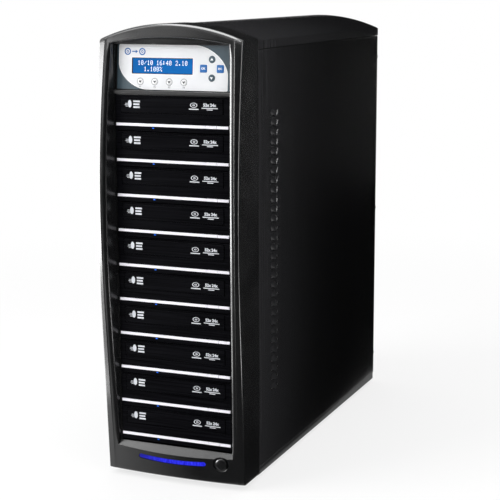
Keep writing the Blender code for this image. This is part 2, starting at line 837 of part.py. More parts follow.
def disc_tray():
    """A tray with its door, the disc's recess and the slot that the spindle comes up through."""
    door_outline = rounded_rectangle(DOOR_WIDTH, DOOR_HEIGHT, DOOR_CORNER)
    door = along_y(door_outline, -DOOR_PROUD, DOOR_THICKNESS - DOOR_PROUD)
    floor = FIT - DOOR_HEIGHT / 2
    plate = box(
        (-TRAY_WIDTH / 2, DOOR_THICKNESS / 2, floor),
        (TRAY_WIDTH / 2, TRAY_LENGTH, floor + TRAY_THICKNESS),
    )
    centre = (0, DISC_FROM_DOOR)
    round_recess = loft(
        [
            [(x, y, z) for x, y in circle(DISC_RADIUS, DISC_SEGMENTS, centre)]
            for z in (floor + TRAY_THICKNESS - DISC_RECESS, floor + TRAY_THICKNESS + OVERRUN)
        ]
    )
    slot = box(
        (-SPINDLE_SLOT_WIDTH / 2, DISC_FROM_DOOR - SPINDLE_SLOT_BEFORE_CENTRE, floor - OVERRUN),
        (SPINDLE_SLOT_WIDTH / 2, TRAY_LENGTH + OVERRUN, floor + TRAY_THICKNESS + OVERRUN),
    )
    return smooth(cut(united(door, plate), round_recess, slot))


def eject_button():
    """The button that fills the notch in the silver strip."""
    outline = rounded_rectangle(EJECT_WIDTH, STRIP_HEIGHT, SHEET / 2)
    return along_y(outline, -STRIP_PROUD, EJECT_DEPTH)


def add_drives():
    """Ten drives from the top down, each with its tray and its eject button."""
    body_mesh, tray_mesh, button_mesh = drive_body(), disc_tray(), eject_button()
    for i in range(DRIVE_COUNT):
        middle = STACK_TOP_Z - i * DRIVE_PITCH - DRIVE_HEIGHT / 2
        number = f"{i + 1:02d}"
        piece(f"drive_{number}_body", body_mesh, "drive_black", (0, FACE_Y, middle))
        piece(f"drive_{number}_tray", tray_mesh, "tray_plastic", (0, FACE_Y, middle + door_z()))
        place = (EJECT_X, FACE_Y, middle + strip_z())
        piece(f"drive_{number}_eject", button_mesh, "silver_trim", place)


def drive_cage():
    """A folded steel tunnel from the base pan up, which the drives are fixed in."""
    inner = DRIVE_WIDTH / 2 + FIT
    outer = inner + SHEET
    front = CASE_Y + SHEET + FIT
    back = FACE_Y + DRIVE_DEPTH - DRIVE_BACK_WALL
    floor = PAN_FLOOR_Z + FIT
    ceiling = STACK_TOP_Z + FIT
    shell = box((-outer, front, floor), (outer, back, ceiling + SHEET))
    return cut(
        shell,
        box((-inner, front - OVERRUN, floor + SHEET), (inner, back + OVERRUN, ceiling)),
    )


# Case


def dome_outline(inset):
    """The top cover's outline as (x, z) points, inside the outer one by the inset."""
    half = CASE_HALF - inset
    points = [(-half, SKIRT_Z - (OVERRUN if inset else 0)), (half, SKIRT_Z - (OVERRUN if inset else 0))]
    for i in range(DOME_SEGMENTS + 1):
        x = half * (1 - 2 * i / DOME_SEGMENTS)
        points.append((x, EAVES_Z - inset + arch_height(x, CASE_HALF, DOME_RISE)))
    return points


def top_cover():
    """A domed sheet cover with a skirt along its sides and across its rear."""
    shell = along_y(dome_outline(0), CASE_Y, REAR_Y)
    return smooth(cut(shell, along_y(dome_outline(SHEET), CASE_Y - OVERRUN, REAR_Y - SHEET)))


def rectangle_ring(x, low, high, shrink):
    """A rectangle in a plane across X, between two (y, z) corners, smaller all round by this much."""
    (y0, z0), (y1, z1) = low, high
    y0, z0, y1, z1 = y0 + shrink, z0 + shrink, y1 - shrink, z1 - shrink
    return [(x, y0, z0), (x, y1, z0), (x, y1, z1), (x, y0, z1)]


def louvre_wedge(out, shrink):
    """A hood that stands out from the sheet, as a wedge about the louvre's middle, before X is turned."""
    half_length = LOUVRE_LENGTH / 2 - shrink
    half_height = LOUVRE_HEIGHT / 2
    lip = half_length - LOUVRE_END
    sheet_x = -SHEET / 2 if shrink == 0 else -SHEET - OVERRUN
    low = -half_height if shrink == 0 else -half_height - shrink
    shape = bmesh.new()
    points = [
        (sheet_x, -half_length, low),
        (sheet_x, half_length, low),
        (sheet_x, half_length, half_height - shrink),
        (sheet_x, -half_length, half_height - shrink),
        (0, -half_length, low),
        (0, half_length, low),
        (0, half_length, half_height - shrink),
        (0, -half_length, half_height - shrink),
        (out, -lip, low),
        (out, lip, low),
    ]
    corners = [shape.verts.new(point) for point in points]
    faces = (
        (0, 1, 2, 3),
        (0, 1, 5, 9, 8, 4),
        (1, 2, 6, 5),
        (2, 3, 7, 6),
        (3, 0, 4, 7),
        (5, 6, 9),
        (6, 7, 8, 9),
        (7, 4, 8),
    )
    for face in faces:
        shape.faces.new([corners[i] for i in face])
    return mesh_of(shape)


def side_panel(side):
    """A flanged steel panel with a column of louvres and captive thumbscrews; side is 1 or -1."""
    low, high = (CASE_Y, BAND_TOP_Z + FIT), (REAR_Y, PANEL_TOP_Z)
    rings = []
    for step in range(ROUND_STEPS + 1):
        angle = math.pi / 2 * step / ROUND_STEPS
        x = CASE_HALF - PANEL_EDGE_RADIUS * (1 - math.sin(angle))
        rings.append(rectangle_ring(x, low, high, PANEL_EDGE_RADIUS * (1 - math.cos(angle))))
    back = CASE_HALF - PANEL_FLANGE
    rings.insert(0, rectangle_ring(back, low, high, 0))
    inside = (low[0] + SHEET, low[1] - OVERRUN), (high[0] - SHEET, high[1] - SHEET)
    hollow = loft([rectangle_ring(x, *inside, 0) for x in (back - OVERRUN, CASE_HALF - SHEET)])
    y = SEAM_Y + LOUVRE_FROM_SEAM
    hoods, slots = [], []
    for i in range(LOUVRE_COUNT):
        z = BASE_Z + LOUVRE_FROM_BASE + i * LOUVRE_PITCH
        hoods.append(moved(louvre_wedge(LOUVRE_PROUD, 0), (CASE_HALF, y, z)))
        slots.append(moved(louvre_wedge(LOUVRE_PROUD - LOUVRE_SKIN, LOUVRE_SKIN), (CASE_HALF, y, z)))
    screws = []
    for share in THUMBSCREW_SHARES:
        z = low[1] + share * (high[1] - low[1])
        outline = circle(THUMBSCREW_RADIUS, THUMBSCREW_SEGMENTS, (CASE_HALF - PANEL_FLANGE / 2, z))
        screws.append(along_y(outline, REAR_Y - SHEET / 2, REAR_Y + THUMBSCREW_LENGTH))
    shell = cut(loft(rings), hollow)
    made = cut(united(shell, joined(hoods + screws)), joined(slots))
    if side < 0:
        made.transform(Matrix.Scale(-1, 4, Vector((1, 0, 0))))
        made.flip_normals()
    return smooth(made)


def base_pan():
    """The tray that everything stands on, whose rim shows as a band below the side panels."""
    half = CASE_HALF - BAND_INSET
    shell = box((-half, CASE_Y, BASE_Z), (half, REAR_Y, BAND_TOP_Z))
    hollow = box(
        (-half + SHEET, CASE_Y + SHEET, PAN_FLOOR_Z),
        (half - SHEET, REAR_Y - SHEET, BAND_TOP_Z + OVERRUN),
    )
    return cut(shell, hollow)


def grille_slots(x, z, start, end):
    """The arc slots of a stamped fan grille, as tools about a middle."""
    slots = []
    for ring in range(GRILLE_RING_COUNT):
        inner = GRILLE_FIRST_RADIUS + ring * GRILLE_RING_PITCH
        outer = inner + GRILLE_SLOT
        spread = math.tau / GRILLE_ARC_COUNT - GRILLE_BRIDGE / inner
        for i in range(GRILLE_ARC_COUNT):
            first = math.tau * i / GRILLE_ARC_COUNT - spread / 2
            outline = arc(outer, first, first + spread, GRILLE_ARC_SEGMENTS, (x, z))
            outline += arc(inner, first + spread, first, GRILLE_ARC_SEGMENTS, (x, z))
            slots.append(along_y(outline, start, end))
    return joined(slots)


def supply_z():
    """Height of the power supply's middle: it stands on the base pan."""
    return PAN_FLOOR_Z + FIT + SUPPLY_HEIGHT / 2


def rear_panel():
    """The rear sheet, with the case fan's grille and the power supply's opening."""
    half = CASE_HALF - BAND_INSET - SHEET - FIT
    sheet = box(
        (-half, REAR_PANEL_Y - SHEET, PAN_FLOOR_Z + FIT),
        (half, REAR_PANEL_Y, PANEL_TOP_Z - SHEET - FIT),
    )
    across, up = SUPPLY_WIDTH / 2 - SUPPLY_LIP, SUPPLY_HEIGHT / 2 - SUPPLY_LIP
    start, end = REAR_PANEL_Y - SHEET - OVERRUN, REAR_PANEL_Y + OVERRUN
    opening = box((-across, start, supply_z() - up), (across, end, supply_z() + up))
    return cut(sheet, opening, grille_slots(0, PANEL_TOP_Z - CASE_FAN_DOWN, start, end))


def add_case():
    """The sheet metal: pan, rear panel, side panels, top cover and cage, and the four feet."""
    piece("base_pan", base_pan(), "black_steel")
    piece("rear_panel", rear_panel(), "black_steel")
    piece("right_side_panel", side_panel(1), "black_steel")
    piece("left_side_panel", side_panel(-1), "black_steel")
    piece("top_cover", top_cover(), "black_steel")
    piece("drive_cage", drive_cage(), "plated_steel")
    foot_mesh = foot()
    for end, y in (("front", CASE_Y + FOOT_INSET), ("rear", REAR_Y - FOOT_INSET)):
        for side_name, side in (("left", -1), ("right", 1)):
            x = side * (CASE_HALF - FOOT_INSET)
            piece(f"foot_{end}_{side_name}", foot_mesh, "foot_rubber", (x, y, 0))


def foot():
    """A rubber foot, a little wider at the pan than at the floor."""
    rings = [
        [(x, y, z) for x, y in circle(radius, KEY_SEGMENTS)]
        for radius, z in ((FOOT_TOE_RADIUS, 0), (FOOT_RADIUS, FOOT_HEIGHT - FIT))
    ]
    return smooth(loft(rings))


# Power supply and fans


def inlet_outline(width, height):
    """The outline of a mains inlet: a rectangle with its two upper corners cut off."""
    x, z, corner = width / 2, height / 2, INLET_CORNER
    return [(-x, -z), (x, -z), (x, z - corner), (x - corner, z), (corner - x, z), (-x, z - corner)]


def supply_case():
    """The power supply's box about the middle of its rear face, with pockets for what it carries."""
    across, up = SUPPLY_WIDTH / 2, SUPPLY_HEIGHT / 2
    block = box((-across, -SUPPLY_LENGTH, -up), (across, 0, up))
    fan_half = FAN_SIDE / 2 + FIT
    fan_pocket = box(
        (SUPPLY_FAN_X - fan_half, -SUPPLY_WALL - FAN_DEPTH - OVERRUN, -fan_half),
        (SUPPLY_FAN_X + fan_half, -SUPPLY_WALL, fan_half),
    )
    inlet_hole = moved(
        box(
            (-INLET_WIDTH / 2 - FIT, -INLET_DEPTH - OVERRUN, -INLET_HEIGHT / 2 - FIT),
            (INLET_WIDTH / 2 + FIT, OVERRUN, INLET_HEIGHT / 2 + FIT),
        ),
        (INLET_X, 0, INLET_UP),
    )
    rocker_half, rocker_up = ROCKER_WIDTH / 2 + RUN, ROCKER_RADIUS + RUN
    rocker_hole = moved(
        box((-rocker_half, -ROCKER_POCKET_DEPTH, -rocker_up), (rocker_half, OVERRUN, rocker_up)),
        (INLET_X, 0, ROCKER_UP),
    )
    slots = grille_slots(SUPPLY_FAN_X, 0, -SUPPLY_WALL - OVERRUN / 2, OVERRUN)
    return cut(block, fan_pocket, slots, inlet_hole, rocker_hole)


def power_inlet():
    """A mains inlet: a flanged body with a shaped mouth and three pins."""
    body = box(
        (-INLET_WIDTH / 2, -INLET_DEPTH, -INLET_HEIGHT / 2),
        (INLET_WIDTH / 2, INLET_FLANGE, INLET_HEIGHT / 2),
    )
    across = INLET_WIDTH / 2 + INLET_FLANGE_MARGIN
    up = INLET_HEIGHT / 2 + INLET_FLANGE_MARGIN
    flange = box((-across, FIT, -up), (across, INLET_FLANGE, up))
    wall = 2 * INLET_WALL
    floor = INLET_FLOOR - INLET_DEPTH
    mouth = along_y(
        inlet_outline(INLET_WIDTH - wall, INLET_HEIGHT - wall), floor, INLET_FLANGE + OVERRUN
    )
    pins = []
    for x, z in ((-PIN_SPACING, -EARTH_PIN_UP / 2), (0, EARTH_PIN_UP / 2), (PIN_SPACING, -EARTH_PIN_UP / 2)):
        pins.append(
            box(
                (x - PIN_WIDTH / 2, floor - SHEET, z - PIN_HEIGHT / 2),
                (x + PIN_WIDTH / 2, floor + PIN_LENGTH, z + PIN_HEIGHT / 2),
            )
        )
    return united(cut(united(body, flange), mouth), joined(pins))


def power_rocker():
    """A rocker with a hollowed face and round ends, about its pivot, tipped to one side."""
    corner = ROCKER_CORNER_ANGLE
    face = ROCKER_RADIUS * (math.sin(corner) - math.cos(corner) * math.tan(ROCKER_TILT))
    outline = arc(ROCKER_RADIUS, -corner, corner, ROCKER_SEGMENTS)
    outline.append((0, face))
    outline += arc(ROCKER_RADIUS, math.pi - corner, math.pi + corner, ROCKER_SEGMENTS)
    turn_cos, turn_sin = math.cos(ROCKER_TILT), math.sin(ROCKER_TILT)
    points = [(z * turn_sin + y * turn_cos, z * turn_cos - y * turn_sin) for z, y in outline]
    return smooth(along_x(points, -ROCKER_WIDTH / 2, ROCKER_WIDTH / 2))


def fan_frame():
    """A square fan frame about the middle of its rear face, with a round bore and a strutted hub plate."""
    block = along_y(rounded_rectangle(FAN_SIDE, FAN_SIDE, FAN_CORNER), -FAN_DEPTH, 0)
    bore = along_y(circle(FAN_BORE_RADIUS, FAN_SEGMENTS), -FAN_DEPTH - OVERRUN, OVERRUN)
    hub = along_y(circle(FAN_HUB_RADIUS, FAN_SEGMENTS), -FAN_STRUT_THICKNESS, 0)
    inner, outer = FAN_HUB_RADIUS - OVERRUN, FAN_BORE_RADIUS + OVERRUN
    struts = []
    for i in range(FAN_STRUT_COUNT):
        strut = box(
            (inner, -FAN_STRUT_THICKNESS, -FAN_STRUT_WIDTH / 2),
            (outer, 0, FAN_STRUT_WIDTH / 2),
        )
        turn = math.tau * (i + 1 / 2) / FAN_STRUT_COUNT
        strut.transform(Matrix.Rotation(turn, 4, "Y"))
        struts.append(strut)
    return smooth(united(cut(block, bore), joined(struts), hub))


def fan_rotor():
    """A hub with twisted blades, about the middle of the frame's rear face."""
    back = -FAN_STRUT_THICKNESS - RUN
    front = FAN_FRONT_CLEARANCE - FAN_DEPTH
    hub = along_y(circle(FAN_HUB_RADIUS, FAN_SEGMENTS), front, back)
    middle = (front + back) / 2
    tip = FAN_BORE_RADIUS - FAN_TIP_CLEARANCE
    blades = []
    for i in range(FAN_BLADE_COUNT):
        rings = []
        for share in (0, 1 / 2, 1):
            radius = FAN_HUB_RADIUS - OVERRUN + share * (tip - FAN_HUB_RADIUS + OVERRUN)
            angle = FAN_BLADE_ROOT_ANGLE + share * (FAN_BLADE_TIP_ANGLE - FAN_BLADE_ROOT_ANGLE)
            ring = []
            for along, across in ((-1, -1), (1, -1), (1, 1), (-1, 1)):
                chord, thick = along * FAN_BLADE_CHORD / 2, across * FAN_BLADE_THICKNESS / 2
                tangent = chord * math.cos(angle) - thick * math.sin(angle)
                axial = chord * math.sin(angle) + thick * math.cos(angle)
                ring.append((math.sqrt(radius**2 - tangent**2), middle + axial, tangent))
            rings.append(ring)
        blade = loft(rings)
        blade.transform(Matrix.Rotation(math.tau * i / FAN_BLADE_COUNT, 4, "Y"))
        blades.append(blade)
    return smooth(united(hub, joined(blades)))


def add_power():
    """The power supply with its inlet, switch and fan, and the case fan."""
    place = Vector((0, SUPPLY_Y, supply_z()))
    piece("psu_case", supply_case(), "plated_steel", place)
    piece("power_inlet", power_inlet(), "fan_black", place + Vector((INLET_X, 0, INLET_UP)))
    pivot = place + Vector((INLET_X, -ROCKER_PIVOT_DEPTH, ROCKER_UP))
    piece("power_rocker", power_rocker(), "fan_black", pivot)
    frame_mesh, rotor_mesh = fan_frame(), fan_rotor()
    fans = {
        "psu_fan": place + Vector((SUPPLY_FAN_X, -SUPPLY_WALL - FIT, 0)),
        "case_fan": Vector((0, REAR_PANEL_Y - SHEET - FIT, PANEL_TOP_Z - CASE_FAN_DOWN)),
    }
    for name, at in fans.items():
        piece(f"{name}_frame", frame_mesh, "fan_black", at)
        piece(f"{name}_rotor", rotor_mesh, "fan_black", at)


def main():
    """Build the tower."""
    clear_scene()
    add_front()
    add_controls()
    add_drives()
    add_case()
    add_power()


main()
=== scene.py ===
"""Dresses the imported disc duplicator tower: finer pieces, finishes, and a studio to look at it in.

Metres, in the part's own frame: +Z up, +X to the right of someone facing the drives, +Y to the rear.
"""

import math

import bmesh
import bpy
from mathutils import Matrix, Vector


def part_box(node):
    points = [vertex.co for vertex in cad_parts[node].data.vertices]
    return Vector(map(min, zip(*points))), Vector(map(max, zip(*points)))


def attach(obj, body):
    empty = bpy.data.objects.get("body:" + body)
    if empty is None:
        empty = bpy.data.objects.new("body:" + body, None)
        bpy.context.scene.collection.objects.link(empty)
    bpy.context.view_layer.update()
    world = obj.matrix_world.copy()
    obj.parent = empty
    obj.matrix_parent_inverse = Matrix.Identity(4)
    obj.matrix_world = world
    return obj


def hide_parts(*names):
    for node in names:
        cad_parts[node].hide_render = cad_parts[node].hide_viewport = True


bl_info = {
    "name": "Disc Duplicator Tower",
    "version": (1, 0, 0),
    "blender": (4, 5, 0),
    "location": "3D View > Sidebar > Duplicator",
    "description": "Builds the visible pieces of a disc duplicator tower round its solid model",
    "category": "Object",
}

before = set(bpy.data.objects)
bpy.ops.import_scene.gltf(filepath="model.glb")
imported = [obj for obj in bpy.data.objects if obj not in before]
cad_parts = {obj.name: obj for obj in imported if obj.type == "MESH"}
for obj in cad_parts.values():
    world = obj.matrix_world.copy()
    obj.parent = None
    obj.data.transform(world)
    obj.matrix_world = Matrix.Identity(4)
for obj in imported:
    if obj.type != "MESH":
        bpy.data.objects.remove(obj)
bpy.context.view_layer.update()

# Sheet metal and clearances
SHEET = 0.001
FIT = 0.0003
RUN = 0.0004
OVERRUN = 0.002

# Heights from the floor
BASE_Z = 0.005
PAN_FLOOR_Z = 0.006
BAND_TOP_Z = 0.014
SILL_Z = 0.045
STACK_TOP_Z = 0.4695
OPENING_TOP_Z = 0.470
FASCIA_Z = 0.4757
FASCIA_TOP_Z = 0.5293
EAVES_Z = 0.5336
SKIRT_Z = 0.5233
PANEL_TOP_Z = 0.5227
CREST_Z = BASE_Z + 0.605 * (EAVES_Z - BASE_Z)

# Half widths
CASE_HALF = 0.090
BEZEL_HALF = 0.0911
WINDOW_HALF = 0.0747
OPENING_HALF = 0.0737
DOME_RISE = 0.0185

# Places along the tower
STRIP_PROUD = 0.001
FACE_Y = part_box("drive_01_body")[0].y + STRIP_PROUD
SEAM_Y = FACE_Y + 0.0445
CASE_Y = SEAM_Y + 0.0006
REAR_Y = SEAM_Y + 0.461
REAR_PANEL_Y = REAR_Y - SHEET - FIT
SUPPLY_Y = REAR_PANEL_Y - SHEET - FIT
SUPPLY_Z = PAN_FLOOR_Z + FIT + 0.043

# Bow of the front
CREST_REACH = 0.0175
TOP_REACH = 0.0035
FOOT_REACH = 0.0020
BEND_SHARE = 0.36
PLAN_BOW = 0.005
RAIL_X = 0.080

# Front moulding
LAND_AT_CREST = 0.0046
LAND_TAPER = 0.00475
LAND_FALL = 0.0006
LAND_TILT = 0.14
CORNER_RADIUS = 0.0012
HEAD_RADIUS = 0.0046
BAND_DEPTH = 0.00025
BEZEL_FLOOR_Z = 0.0079
BEZEL_WALL = 0.003
JAMB_DEPTH = 0.010
SIDE_FLARE = 0.32
SILL_FLARE = 1.0
HEAD_FLARE = 0.25
LIP_RISE = 0.0065
SIDE_EDGE_RADIUS = 0.0046
HEAD_EDGE_RADIUS = 0.0018
SILL_EDGE_RADIUS = 0.0009
WINDOW_CORNER_RADIUS = 0.0014
SIDE_EASE = 0.016
END_EASE = 0.008

# Chin
LIGHT_X = -0.0027
LIGHT_Z = BASE_Z + 0.0238
LIGHT_LENGTH = 0.0896
LIGHT_THICKNESS = 0.0055
LIGHT_SAG = 0.002
BUTTON_X = 0.0620
BUTTON_Z = BASE_Z + 0.0270
BUTTON_RADIUS = 0.0072
DISH_RADIUS = 0.0098
DISH_DEPTH = 0.0016
LENS_BACK = 0.006
BUTTON_LEDGE = 0.0045
BUTTON_FLANGE = 0.0087
BUTTON_CROWN = 0.0018

# Keypad
FASCIA_TILT = math.radians(4.5)
FASCIA_THICKNESS = 0.003
FASCIA_HALF_WIDTH = 0.0734
FASCIA_HALF_HEIGHT = 0.02644
DISPLAY = (-0.0136, 0.0015, 0.078, 0.018)
PAD_X = 0.0498
PAD_UP = -0.0005
PAD_STEP = 0.0106
ARROW_RADIUS = 0.0041
SQUARE_SIDE = 0.0088
FUNCTION_RADIUS = 0.0032
FUNCTION_FIRST_X = -0.0415
FUNCTION_PITCH = 0.01877
FUNCTION_DOWN = 0.0167
LABEL_HALF_WIDTH = 0.0700
LABEL_HALF_HEIGHT = 0.0260
LABEL_UPPER_SWEEP = (0.0286, -0.0080)
LABEL_LOWER_SWEEP = (-0.0340, 0.0040)
LABEL_CORNER = 0.0018
DISPLAY_PITCH = (0.00405, 0.0073)
DISPLAY_DOT = 0.00062

# Drives
DRIVE_COUNT = 10
DRIVE_PITCH = 0.0423
DRIVE_HALF_WIDTH = 0.073
DRIVE_HALF_HEIGHT = 0.02065
DRIVE_DEPTH = 0.170
DOOR_UP = 0.00965
DOOR_HALF_WIDTH = 0.0655
DOOR_HALF_HEIGHT = 0.009
STRIP_UP = -0.0135
STRIP_HALF_WIDTH = 0.0723
STRIP_HALF_HEIGHT = 0.00165
EJECT_X = 0.0506
EJECT_HALF_WIDTH = 0.0071
TRAY_LENGTH = 0.150
DISC_Y = 0.072
DISC_RECESSES = ((0.0605, 0.0018), (0.0405, 0.0030))
TRAY_HALF_WIDTH = 0.064
TRAY_THICKNESS = 0.006
SPINDLE_HALF = 0.0225

# Louvres
LOUVRE_COUNT = 30
LOUVRE_PITCH = 0.01171
LOUVRE_LENGTH = 0.026
HOOD_PROUD = 0.0024
HOOD_TOP = 0.0046
HOOD_HEIGHT = 0.0086
HOOD_SLANT = 0.005
HOOD_CREST = 0.05
LOUVRE_Y = SEAM_Y + 0.054
LOUVRE_Z = BASE_Z + 0.101
HOOD_SKIN = 0.0005
SLOT_HALF_LENGTH = 0.0115
SLOT_REACH = 0.004
SLOT_FOOT = 0.0029
SLOT_HEAD = 0.0004
PANEL_FLANGE = 0.012
PANEL_BEND = 0.0015

# Printed marks
MARK_HALF = 0.00005
OVERLAY_MARK_Y = -0.00028
KEY_RING_Y = -0.00026
KEY_MARK_Y = -0.00075
DOOR_MARK_Y = -0.00052
ROCKER_MARK_Y = 0.00255
DISPLAY_DOT_Y = 0.00075

# Rear
CONTROL_X = 0.048
INLET_UP = 0.018
ROCKER_PLACE = (CONTROL_X, SUPPLY_Y - 0.0022, SUPPLY_Z - 0.020)
ROCKER_RADIUS = 0.0092
ROCKER_TILT = math.radians(8)
FAN_SCREW_OUT = 0.0357
SUPPLY_SCREWS = ((-0.0665, 0.0), (-0.0300, 0.0350))
REAR_SCREW_X = 0.082
REAR_SCREW_HEIGHTS = (0.105, 0.30, 0.505)
HUB_BACK_Y = -0.0039
HUB_FRONT_Y = -0.022
HUB_RADIUS = 0.0165
BLADE_COUNT = 7
BLADE_ROOT = 0.0160
BLADE_TIP = 0.0363
FAN_PLACES = {
    "psu": (-0.030, SUPPLY_Y - SHEET - FIT, SUPPLY_Z),
    "case": (0.0, REAR_PANEL_Y - SHEET - FIT, PANEL_TOP_Z - 0.0977),
}

# Studio
# Painted sheen: how many times paler the case's black is painted at its front than at its rear
PANEL_FRONT_PAINTED_SHEEN = 9.5
# Painted light: the cover's black is painted this many times paler than the panels', as its lit top
COVER_PAINTED_LIGHT = 3.2
FLOOR_RADIUS = 6.0
FLOOR_SEGMENTS = 96
RAIL_AIM = (-0.09, -0.26, 0.30)
TOWER_AIM = (0, 0, 0.27)
FLAG_Z = 0.003


# Meshes


def mesh_of(points, faces):
    """A closed mesh with its faces turned out."""
    shape = bmesh.new()
    corners = [shape.verts.new(point) for point in points]
    for face in faces:
        shape.faces.new([corners[i] for i in face])
    bmesh.ops.recalc_face_normals(shape, faces=shape.faces)
    return mesh_from(shape)


def mesh_from(shape):
    """The mesh of a bmesh, which is freed."""
    mesh = bpy.data.meshes.new("shape")
    shape.to_mesh(mesh)
    shape.free()
    return mesh


def new_object(name, data):
    """A new object in the scene."""
    made = bpy.data.objects.new(name, data)
    bpy.context.scene.collection.objects.link(made)
    return made


def evaluated(holder):
    """The plain mesh that an object makes with its modifiers. The object is removed."""
    graph = bpy.context.evaluated_depsgraph_get()
    made = bpy.data.meshes.new_from_object(holder.evaluated_get(graph))
    holder.modifiers.clear()
    bpy.data.objects.remove(holder)
    return made


def through(rings, around=False):
    """A mesh through rings of as many points each, capped at its ends or closed on itself."""
    count = len(rings[0])
    points = [point for ring in rings for point in ring]
    faces = []
    pairs = list(zip(range(len(rings) - 1), range(1, len(rings))))
    if around:
        pairs.append((len(rings) - 1, 0))
    for a, b in pairs:
        for i in range(count):
            j = (i + 1) % count
            faces.append((a * count + i, a * count + j, b * count + j, b * count + i))
    if not around:
        faces.append(tuple(range(count)))
        faces.append(tuple(range((len(rings) - 1) * count, len(rings) * count)))
    return mesh_of(points, faces)


def drawn(outline, start, end):
    """An outline of (x, z) points drawn out along Y."""
    return through([[(x, y, z) for x, z in outline] for y in (start, end)])


def raised(outline, low, high):
    """An outline of (x, y) points drawn out along Z."""
    return through([[(x, y, z) for x, y in outline] for z in (low, high)])


def block(low, high):
    """A block between two corners."""
    (x0, y0, z0), (x1, y1, z1) = low, high
    return drawn([(x0, z0), (x1, z0), (x1, z1), (x0, z1)], y0, y1)


def turned(profile, segments):
    """A solid turned about Y from (radius, y) points, which start and end on the axis."""
    rings = [[(x, y, z) for x, z in circle(radius, segments)] for radius, y in profile[1:-1]]
    points = [(0, profile[0][1], 0)] + [point for ring in rings for point in ring] + [(0, profile[-1][1], 0)]
    pairs = [(i, (i + 1) % segments) for i in range(segments)]
    faces = [(0, 1 + i, 1 + j) for i, j in pairs]
    for ring in range(len(rings) - 1):
        a, b = 1 + ring * segments, 1 + (ring + 1) * segments
        faces += [(a + i, a + j, b + j, b + i) for i, j in pairs]
    a = 1 + (len(rings) - 1) * segments
    faces += [(len(points) - 1, a + i, a + j) for i, j in pairs]
    return mesh_of(points, faces)


def placed(mesh, matrix):
    """The mesh, moved in place by a matrix or an offset."""
    mesh.transform(matrix if isinstance(matrix, Matrix) else Matrix.Translation(Vector(matrix)))
    return mesh


def joined(meshes):
    """Several meshes in one, with their materials kept."""
    materials = []
    shape = bmesh.new()
    for mesh in meshes:
        first = len(shape.faces)
        shape.from_mesh(mesh)
        shape.faces.ensure_lookup_table()
        slots = {}
        for i, material in enumerate(mesh.materials):
            if material not in materials:
                materials.append(material)
            slots[i] = materials.index(material)
        for face in shape.faces[first:]:
            face.material_index = slots.get(face.material_index, 0)
    made = mesh_from(shape)
    for material in materials:
        made.materials.append(material)
    return made


def mirrored(mesh):
    """The mesh on the other side of the tower, with its faces turned out again."""
    made = mesh.copy()
    made.transform(Matrix.Scale(-1, 4, Vector((1, 0, 0))))
    made.flip_normals()
    return made


def worked(mesh, kind, **settings):
    """The mesh after one modifier."""
    holder = new_object("holder", mesh)
    modifier = holder.modifiers.new(kind.title(), kind)
    for name, value in settings.items():
        setattr(modifier, name, value)
    return evaluated(holder)


def boolean(mesh, tool, operation):
    """The mesh joined with or cut by a tool."""
    cutter = new_object("cutter", tool)
    made = worked(mesh, "BOOLEAN", solver="EXACT", operation=operation, object=cutter)
    bpy.data.objects.remove(cutter)
    return made


def cut(mesh, *tools):
    """The mesh with each tool cut out of it."""
    for tool in tools:
        mesh = boolean(mesh, tool, "DIFFERENCE")
    return mesh


def softened(mesh, width, segments=2, angle=35):
    """The mesh with its sharp edges rounded."""
    limits = {"limit_method": "ANGLE", "angle_limit": math.radians(angle), "use_clamp_overlap": True}
    return worked(mesh, "BEVEL", width=width, segments=segments, **limits)


def smooth(mesh, angle=30):
    """The mesh shaded smooth but for its sharp corners, with its large faces flat."""
    mesh.shade_smooth()
    mesh.set_sharp_from_angle(angle=math.radians(angle))
    return worked(mesh, "WEIGHTED_NORMAL", keep_sharp=True)


def from_node(node):
    """A copy of a solid's mesh with its triangles merged into flat faces."""
    shape = bmesh.new()
    shape.from_mesh(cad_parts[node].data)
    bmesh.ops.remove_doubles(shape, verts=shape.verts, dist=1e-6)
    bmesh.ops.dissolve_limit(shape, angle_limit=math.radians(0.3), verts=shape.verts, edges=shape.edges)
    return mesh_from(shape)


def add_piece(name, mesh, finish, slot, nodes=(), body="tower"):
    """A finished piece that rides on a body and stands for its solids. Without a finish it keeps its own."""
    if finish:
        mesh.materials.clear()
        mesh.materials.append(finish_of(finish))
    mesh.name = name
    made = new_object(name, mesh)
    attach(made, body)
    if nodes:
        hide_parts(*nodes)


# Outlines


def arc(radius, start, end, segments, centre=(0, 0)):
    """Points round an arc from one angle to another, both ends included."""
    points = []
    for i in range(segments + 1):
        angle = start + (end - start) * i / segments
        points.append((centre[0] + radius * math.cos(angle), centre[1] + radius * math.sin(angle)))
    return points


def circle(radius, segments, centre=(0, 0)):
    """Points round a full circle."""
    return arc(radius, 0, math.tau, segments, centre)[:-1]


def rounded_rectangle(width, height, corner, centre=(0, 0), segments=4):
    """A rectangle with round corners."""
    points = []
    for quarter, (side, up) in enumerate(((1, 1), (-1, 1), (-1, -1), (1, -1))):
        middle = (centre[0] + side * (width / 2 - corner), centre[1] + up * (height / 2 - corner))
        start = quarter * math.pi / 2
        points += arc(corner, start, start + math.pi / 2, segments, middle)
    return points


def arch_height(x, half, rise):
    """Height over its springing of an arch of this half span and rise."""
    radius = (half**2 + rise**2) / (2 * rise)
    return math.sqrt(radius**2 - x**2) - (radius - rise)


